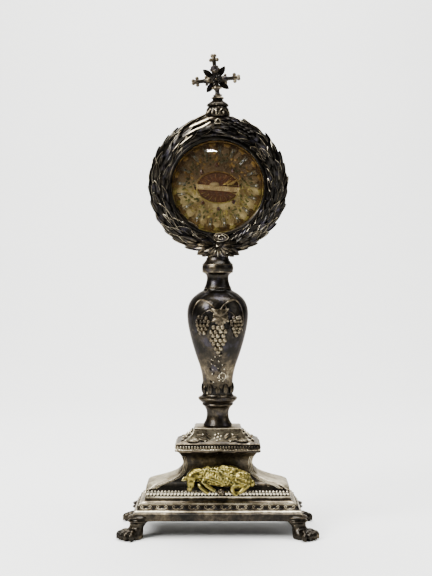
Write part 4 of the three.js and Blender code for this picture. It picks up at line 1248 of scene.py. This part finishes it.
# Cross: leans over to the left above the dome. Arms are rows of reach and half width.
crossLook = {
    "lean": 6.0,
    "base": 292.6,
    "middle": 11.2,
    "arms": [((0, 1), 1.0), ((1, 0), 0.94), ((-1, 0), 0.94)],
    "arm": [(0.4, 2.0), (3.4, 2.0), (4.6, 2.2), (5.8, 2.35), (6.8, 2.2), (7.8, 1.75), (8.8, 1.4),
            (10.4, 1.3), (12.0, 1.4), (13.2, 1.75), (14.2, 1.6), (15.2, 1.3), (15.9, 0.9)],
    "balls": [(13.4, 2.2, 1.25), (13.4, -2.2, 1.25), (16.2, 0.75, 1.3), (16.2, -0.75, 1.3), (6.9, 2.5, 1.0),
              (6.9, -2.5, 1.0), (5.6, 0.0, 1.5)],
    "sleeve": [(5.2, 2.3), (5.5, 2.65), (6.4, 2.7), (9.0, 2.6), (9.4, 2.1)],
    "shaft": [(0.4, 1.5), (3.4, 1.6), (4.6, 2.6), (5.4, 2.9), (6.2, 2.3), (7.4, 1.5), (8.8, 1.5),
              (9.8, 2.0), (10.3, 3.0), (10.7, 3.1), (11.1, 2.9)],
    "rays": [(51, 11.0), (136, 11.2), (227, 10.4), (320, 10.6)],
    "rosette": [(8, 4.2, 1.9, -1.5, 0.2), (8, 3.0, 1.5, -2.1, 0.6), (6, 1.9, 1.0, -2.6, 0.3)],
}


def onCross(u, w, v):  # across, depth, height on the leaning cross
    lean = math.radians(crossLook["lean"])
    cos, sin = math.cos(lean), math.sin(lean)
    return np.array([u * cos - v * sin, w, crossLook["base"] + u * sin + v * cos])


def onArm(way, reach, aside):  # across and height of a point on an arm
    return way[0] * reach + way[1] * aside, crossLook["middle"] + way[1] * reach - way[0] * aside


def addArm(shape, way, size, profile):
    rings = []
    for reach, wide in profile:
        ring = []
        for angle in allRound(16):
            u, v = onArm(way, reach * size, wide * math.cos(angle))
            ring.append(onCross(u, wide * 0.8 * math.sin(angle), v))
        rings.append(ring)
    addSkin(shape, rings)


def makeCross():
    look = crossLook
    middle = look["middle"]
    shape = Shape()
    for way, size in look["arms"]:
        addArm(shape, way, size, look["arm"])
        for reach, aside, ball in look["balls"]:
            u, v = onArm(way, reach * size, aside)
            w = -1.3 if aside == 0 else 0
            addBall(shape, onCross(u, w, v), (ball, ball * 0.9, ball), None, 12, 9)
    addArm(shape, (0, 1), 1.0, look["sleeve"])
    addArm(shape, (0, -1), 1.0, look["shaft"])
    for aside in (-2.7, 2.7):
        u, v = onArm((0, -1), 5.4, aside)
        addBall(shape, onCross(u, 0, v), (0.85, 0.8, 0.85), None, 10, 8)
    for degrees, reach in look["rays"]:
        u, v = compass(math.radians(degrees))
        base, tip = onCross(u * 2.4, 0.7, middle + v * 2.4), onCross(u * reach, 0.5, middle + v * reach)
        addLeaf(shape, base, tip, (0, -1, 0), 4.0, 0.2, 0.5, 1.2, 0.0, 11, 0.5)
    for count, reach, width, y, turn in look["rosette"]:
        for k in range(count):
            u, v = compass(turn + k * 2 * math.pi / count)
            base = onCross(u * 0.3, y, middle + v * 0.3)
            tip = onCross(u * reach, y + 0.3, middle + v * reach)
            addLeaf(shape, base, tip, (0, -1, 0), width, 0.35, 0.2, 0.7, 0.25, 8, 0.6, 0.45)
    addBall(shape, onCross(0, -2.8, middle), (0.7, 0.6, 0.7), None, 10, 8)
    addBall(shape, onCross(0, 0.6, middle), (3.2, 2.0, 3.2), None, 18, 10)
    makePiece("cross_silver", shape, crossSilver, ["cross"])


def melt(shape, voxel, rounds):  # joins the shells into one skin and softens it
    mesh = bpy.data.meshes.new("melt")
    mesh.from_pydata(shape.all().tolist(), [], shape.faces)
    thing = bpy.data.objects.new("melt", mesh)
    bpy.context.scene.collection.objects.link(thing)
    join = thing.modifiers.new("join", "REMESH")
    join.mode = "VOXEL"
    join.voxel_size = voxel
    soften = thing.modifiers.new("soften", "SMOOTH")
    soften.factor = 0.5
    soften.iterations = rounds
    made = thing.evaluated_get(bpy.context.evaluated_depsgraph_get()).to_mesh()
    points = np.array([v.co[:] for v in made.vertices])
    faces = [tuple(p.vertices) for p in made.polygons]
    bpy.data.objects.remove(thing)
    bpy.data.meshes.remove(mesh)
    return Shape().add(points, faces)


# Feet: lion paws that stand out diagonally under a cuff folded round the base corner. Levels are height,
# shift outward and the two half sizes.
footLook = {
    "corner": (52.0, 21.6),
    "levels": [(15.0, -0.5, 5.2, 5.4), (14.4, -0.3, 6.2, 6.3), (13.7, -0.1, 6.4, 6.5),
               (12.9, -0.1, 5.9, 6.0), (12.2, 0, 6.1, 6.2), (11.3, 0.1, 6.5, 6.6), (10.5, 0.2, 6.0, 6.1),
               (9.6, 0.7, 5.3, 5.4), (7.6, 1.7, 4.6, 4.7), (6.0, 2.7, 5.0, 4.9), (4.4, 3.8, 6.0, 5.6),
               (2.4, 4.5, 6.4, 6.0), (0.5, 4.5, 6.2, 5.8), (0.0, 4.4, 5.8, 5.4)],
    "cuffs": [(11.3, 6.7, 0.55), (13.7, 6.6, 0.5)],
    "toes": (-1.5, -0.5, 0.5, 1.5),
    "tendons": (-0.9, -0.3, 0.3, 0.9),
    "tendonLine": [(0.7, 5.0, 9.6), (1.7, 4.4, 7.8), (2.7, 5.0, 6.0), (3.6, 6.4, 4.8)],
    "voxel": 0.3,
    "places": [("foot_front_left", -1, -1), ("foot_front_right", 1, -1), ("foot_back_left", -1, 1),
               ("foot_back_right", 1, 1)],
}


def makeFoot(name, signX, signY):
    look = footLook
    way = unit([signX, signY, 0])
    across = np.array([-way[1], way[0], 0])
    start = np.array([look["corner"][0] * signX, look["corner"][1] * signY, 0.0])
    shape = Shape()
    rings = []
    for z, shift, long, wide in look["levels"]:
        rings.append([start + way * (shift + long * math.cos(angle)) + across * wide * math.sin(angle)
                      + (0, 0, z) for angle in allRound(36)])
    addSkin(shape, rings[::-1])
    for step in look["toes"]:
        turn = 0.27 * step
        reach = 11.5 - 0.35 * abs(step)
        toe = unit(way * math.cos(turn) + across * math.sin(turn) * 1.5)
        at = start + way * (1.0 + reach * math.cos(turn)) + across * reach * math.sin(turn) * 1.22
        side = np.array([-toe[1], toe[0], 0])
        axes = np.stack([toe, side, (0, 0, 1.0)])
        addBall(shape, at + (0, 0, 2.9), (3.1, 2.05, 2.9), axes, 16, 12)
        addBall(shape, at - toe * 3.4 + (0, 0, 4.6), (3.8, 1.75, 2.3), axes, 16, 12)
        claw = [at + toe * reach + (0, 0, z) for reach, z in ((1.8, 2.0), (2.5, 1.3), (2.7, 0.4))]
        addTube(shape, claw, [0.8, 0.65, 0.45], 8)
    for z, reach, size in look["cuffs"]:
        path = [start + way * reach * math.cos(a) + across * reach * math.sin(a) + (0, 0, z)
                for a in np.linspace(-1.9, 1.9, 24)]
        addTube(shape, path, size, 8)
    for turn in look["tendons"]:
        path = [start + way * (shift + r * math.cos(turn)) + across * r * math.sin(turn) + (0, 0, z)
                for shift, r, z in look["tendonLine"]]
        addTube(shape, smoothLine(path, 4), 0.5, 7)
    skin = melt(shape, look["voxel"], 6)
    points = skin.all()
    points[:, 2] = np.maximum(points[:, 2], 0.0)
    inside = (np.abs(points[:, 0]) < 53.0) & (np.abs(points[:, 1]) < 23.2)
    points[inside, 2] = np.minimum(points[inside, 2], 13.5)
    makePiece(name + "_silver", Shape().add(points, skin.faces), footSilver, [name])


# Lamb: gilt, lying on the front of the pedestal with its head down, and the small rosette below it.
lambLook = {
    "middle": -21.0,
    "voxel": 0.3,
    "lumps": [  # x, y from the middle plane, z, then the three radii
        (4.5, 1.8, 39.9, 14.5, 5.5, 7.0), (-5.5, 1.6, 40.2, 9.0, 5.2, 6.3),
        (14.2, 1.0, 37.6, 8.0, 5.0, 6.3), (-13.6, 0.6, 41.4, 6.0, 4.2, 4.2),
        (-17.0, -1.2, 39.6, 3.7, 3.4, 4.2), (-17.6, -2.0, 36.2, 2.9, 2.9, 4.4),
        (-18.3, -2.9, 33.0, 2.0, 2.2, 2.6), (20.4, 0.6, 37.6, 2.4, 2.0, 2.2),
        (22.6, 0.2, 35.4, 2.0, 1.8, 2.4)],
    "limbs": [  # points x, y, z, then the radii along them
        ([(-3.0, -3.0, 42.4), (-6.6, -3.7, 40.0), (-9.8, -3.9, 37.6), (-7.6, -4.0, 35.0),
          (-4.6, -4.0, 32.9), (-1.8, -3.8, 31.2)],
         [1.0, 1.25, 1.35, 1.25, 1.3, 1.3]),
        ([(-12.6, -2.4, 35.2), (-11.3, -3.2, 33.8), (-8.8, -3.7, 31.6), (-6.2, -3.7, 29.4)],
         [1.2, 1.4, 1.35, 1.3]),
        ([(-0.6, -4.2, 45.4), (0.8, -4.9, 42.0), (2.6, -4.8, 38.6)], [0.7, 1.0, 0.8]),
        ([(16.6, -2.0, 37.0), (12.6, -2.8, 35.2), (9.6, -2.9, 33.0), (10.4, -3.0, 30.0),
          (12.8, -3.0, 28.2)],
         [2.4, 2.0, 1.6, 1.4, 1.3]),
        ([(20.2, -1.2, 35.2), (17.2, -2.2, 32.4), (14.8, -2.6, 30.2), (11.6, -2.6, 29.6)],
         [2.2, 1.8, 1.4, 1.2])],
    "ears": [((-19.8, -0.6, 39.6), (-4.2, -0.6, -2.2)), ((-14.0, -2.8, 41.0), (4.2, -0.6, -0.4))],
    "eyes": [(-19.0, 38.0), (-15.2, 37.6)],
    "locks": 150,
    "lockShare": 0.6180339,
}


def makeLamb():
    look = lambLook
    middle = look["middle"]
    shape = Shape()
    for x, y, z, rx, ry, rz in look["lumps"]:
        addBall(shape, (x, middle + y, z), (rx, ry, rz), None, 28, 18)
    for path, radii in look["limbs"]:
        line = smoothLine([(x, middle + y, z) for x, y, z in path], 5)
        places = np.linspace(0, 1, len(line))
        addTube(shape, line, np.interp(places, np.linspace(0, 1, len(radii)), radii), 12)
    for place, ear in look["ears"]:
        start = np.array(place) + (0, middle, 0)
        addLeaf(shape, start, start + np.array(ear), (0, -1, 0.3), 2.8, 0.4, 0.3, 1.2)
    addFleece(shape, middle)
    for x, z in look["eyes"]:
        addBall(shape, (x, middle - 4.2, z), (0.6, 0.5, 0.45), None, 10, 8)
    skin = melt(shape, look["voxel"], 2)
    points = skin.all()
    body = np.clip((points[:, 0] + 14.5) / 3, 0, 1) * np.clip((22.5 - points[:, 0]) / 3, 0, 1)
    body *= np.clip((points[:, 2] - 33.5) / 2, 0, 1)
    outward = points - [0, middle + 1.5, 39.4]
    outward[:, 0] = 0
    outward /= np.maximum(np.linalg.norm(outward, axis=1), 1.0)[:, None]
    points += outward * (body * (0.7 * ripple(points, 4.0, 3) + 0.2 * ripple(points, 2.3, 4)))[:, None]
    points[:, 1] = np.maximum(points[:, 1], middle - 5.6)
    makePiece("lamb_gilt", Shape().add(points, skin.faces), gilding, ["lamb"])


def addFleece(shape, middle):  # curled locks spread over the front of the three body lumps
    for k in range(lambLook["locks"]):
        x = -12.5 + 33.0 * spread(k, lambLook["lockShare"])
        lift = -0.75 + 1.6 * spread(k, secondShare)
        spots = []
        for cx, cy, cz, rx, ry, rz in lambLook["lumps"][:3]:
            inside = 1 - ((x - cx) / rx) ** 2 - (lift * 0.92) ** 2
            if inside > 0:
                spots.append((cy - ry * math.sqrt(inside), cz + rz * lift * 0.92))
        if not spots:
            continue
        y, z = min(spots)
        if z < 34.2 and x < 8:
            continue
        turn = chance.uniform(-1.3, 1.3)
        axes = turnTo((math.sin(turn) - 0.2, -0.15 * lift, -math.cos(turn)), (0, -1, 0))
        size = (chance.uniform(1.2, 2.1), chance.uniform(0.8, 1.25), 0.8)
        addBall(shape, (x, middle + y + 0.15, z), size, axes, 10, 8)


bossLook = {"middle": (2.3, 29.8), "lobes": 5}


def makeBoss():
    x, z = bossLook["middle"]
    shape = Shape()
    addBall(shape, (x, -20.9, z), (2.5, 1.3, 2.3), None, 20, 12)
    for k in range(bossLook["lobes"]):
        angle = k * 2 * math.pi / bossLook["lobes"] + 0.3
        lobe = (x + 1.45 * math.cos(angle), -21.9, z + 1.3 * math.sin(angle))
        addBall(shape, lobe, (0.9, 0.9, 1.0), None, 12, 9)
    addBall(shape, (x, -22.4, z), (0.7, 0.7, 0.8), None, 12, 9)
    makePiece("lamb_boss_silver", shape, bossSilver, ["lamb_boss"])


makeWreath()
makeStraps()
makeCase()
makeDisplay()
makeCrown()
makeCross()
for name, signX, signY in footLook["places"]:
    makeFoot(name, signX, signY)
makeLamb()
makeBoss()
print("every piece ready")


# Camera and studio.
camera = {"distance": 0.7525, "height": 0.1786, "shiftLeft": 0.00115, "lens": 69.7, "downDegrees": 1.132}


def makeCamera():
    data = bpy.data.cameras.new("camera")
    data.lens = camera["lens"]
    data.sensor_width = 36.0
    data.clip_start = 0.01
    data.clip_end = 20.0
    thing = bpy.data.objects.new("camera", data)
    thing.location = (-camera["shiftLeft"], -camera["distance"], camera["height"])
    thing.rotation_euler = (math.radians(90 - camera["downDegrees"]), 0, 0)
    bpy.context.scene.collection.objects.link(thing)
    bpy.context.scene.camera = thing


studio = {
    "paper": (0.78, 0.78, 0.765),
    "sweep": [(-2.4, 0), (-1, 0), (0.4, 0), (0.95, 0.0), (1.35, 0.14), (1.6, 0.5), (1.66, 1.2),
              (1.66, 2.6)],
    "halfWidth": 2.6,
    "lights": [  # name, place, aim, size, power
        ("key", (-0.95, -0.75, 1.05), (0, 0, 0.18), (0.8, 0.8), 38.0),
        ("top", (0.1, 0.1, 1.45), (0, 0, 0.1), (1.2, 0.9), 40.5),
        ("fill", (1.2, -0.5, 0.7), (0, 0, 0.15), (0.7, 1.0), 4.0),
        ("back", (0.0, 0.75, 1.3), (0, 1.6, 0.5), (1.8, 0.4), 23.5),
        ("windowGlint", (-0.01058, -1.4967, 0.40986), (-0.0043, -0.003, 0.2559), (0.0196, 0.0046), 0.12)],
    "ambient": 0.09,
    "ambientTint": (0.92, 0.96, 1.0, 1.0),
    "look": "AgX - Medium High Contrast",
}


def addLight(name, place, aim, size, power):
    data = bpy.data.lights.new(name, "AREA")
    data.shape = "RECTANGLE"
    data.size, data.size_y = size
    data.energy = power
    lamp = bpy.data.objects.new(name, data)
    lamp.location = place
    x, y, z = np.subtract(aim, place)
    lamp.rotation_euler = (math.atan2(math.hypot(x, y), -z), 0, math.atan2(y, x) - math.pi / 2)
    bpy.context.scene.collection.objects.link(lamp)


def makeStudio():
    paper = Finish("paper")
    tone = paper.mix(paper.noise(6.0, 3.0), studio["paper"], tuple(c * 0.97 for c in studio["paper"]))
    sweep = smoothLine(studio["sweep"], 8)
    across = np.linspace(-studio["halfWidth"], studio["halfWidth"], 3)
    mesh = bpy.data.meshes.new("backdrop")
    mesh.from_pydata([(x, y, z) for y, z in sweep for x in across], [],
                     gridFaces(len(sweep), 3, wrapColumns=False))
    mesh.shade_smooth()
    mesh.materials.append(paper.shader(Base_Color=tone, Roughness=0.9))
    backdrop = bpy.data.objects.new("backdrop", mesh)
    bpy.context.scene.collection.objects.link(backdrop)
    for row in studio["lights"]:
        addLight(*row)
    world = bpy.data.worlds.new("studio")
    world.use_nodes = True
    sky = world.node_tree.nodes["Background"]
    sky.inputs["Color"].default_value = studio["ambientTint"]
    sky.inputs["Strength"].default_value = studio["ambient"]
    bpy.context.scene.world = world
    bpy.context.scene.view_settings.look = studio["look"]


makeCamera()
makeStudio()
print("studio ready")
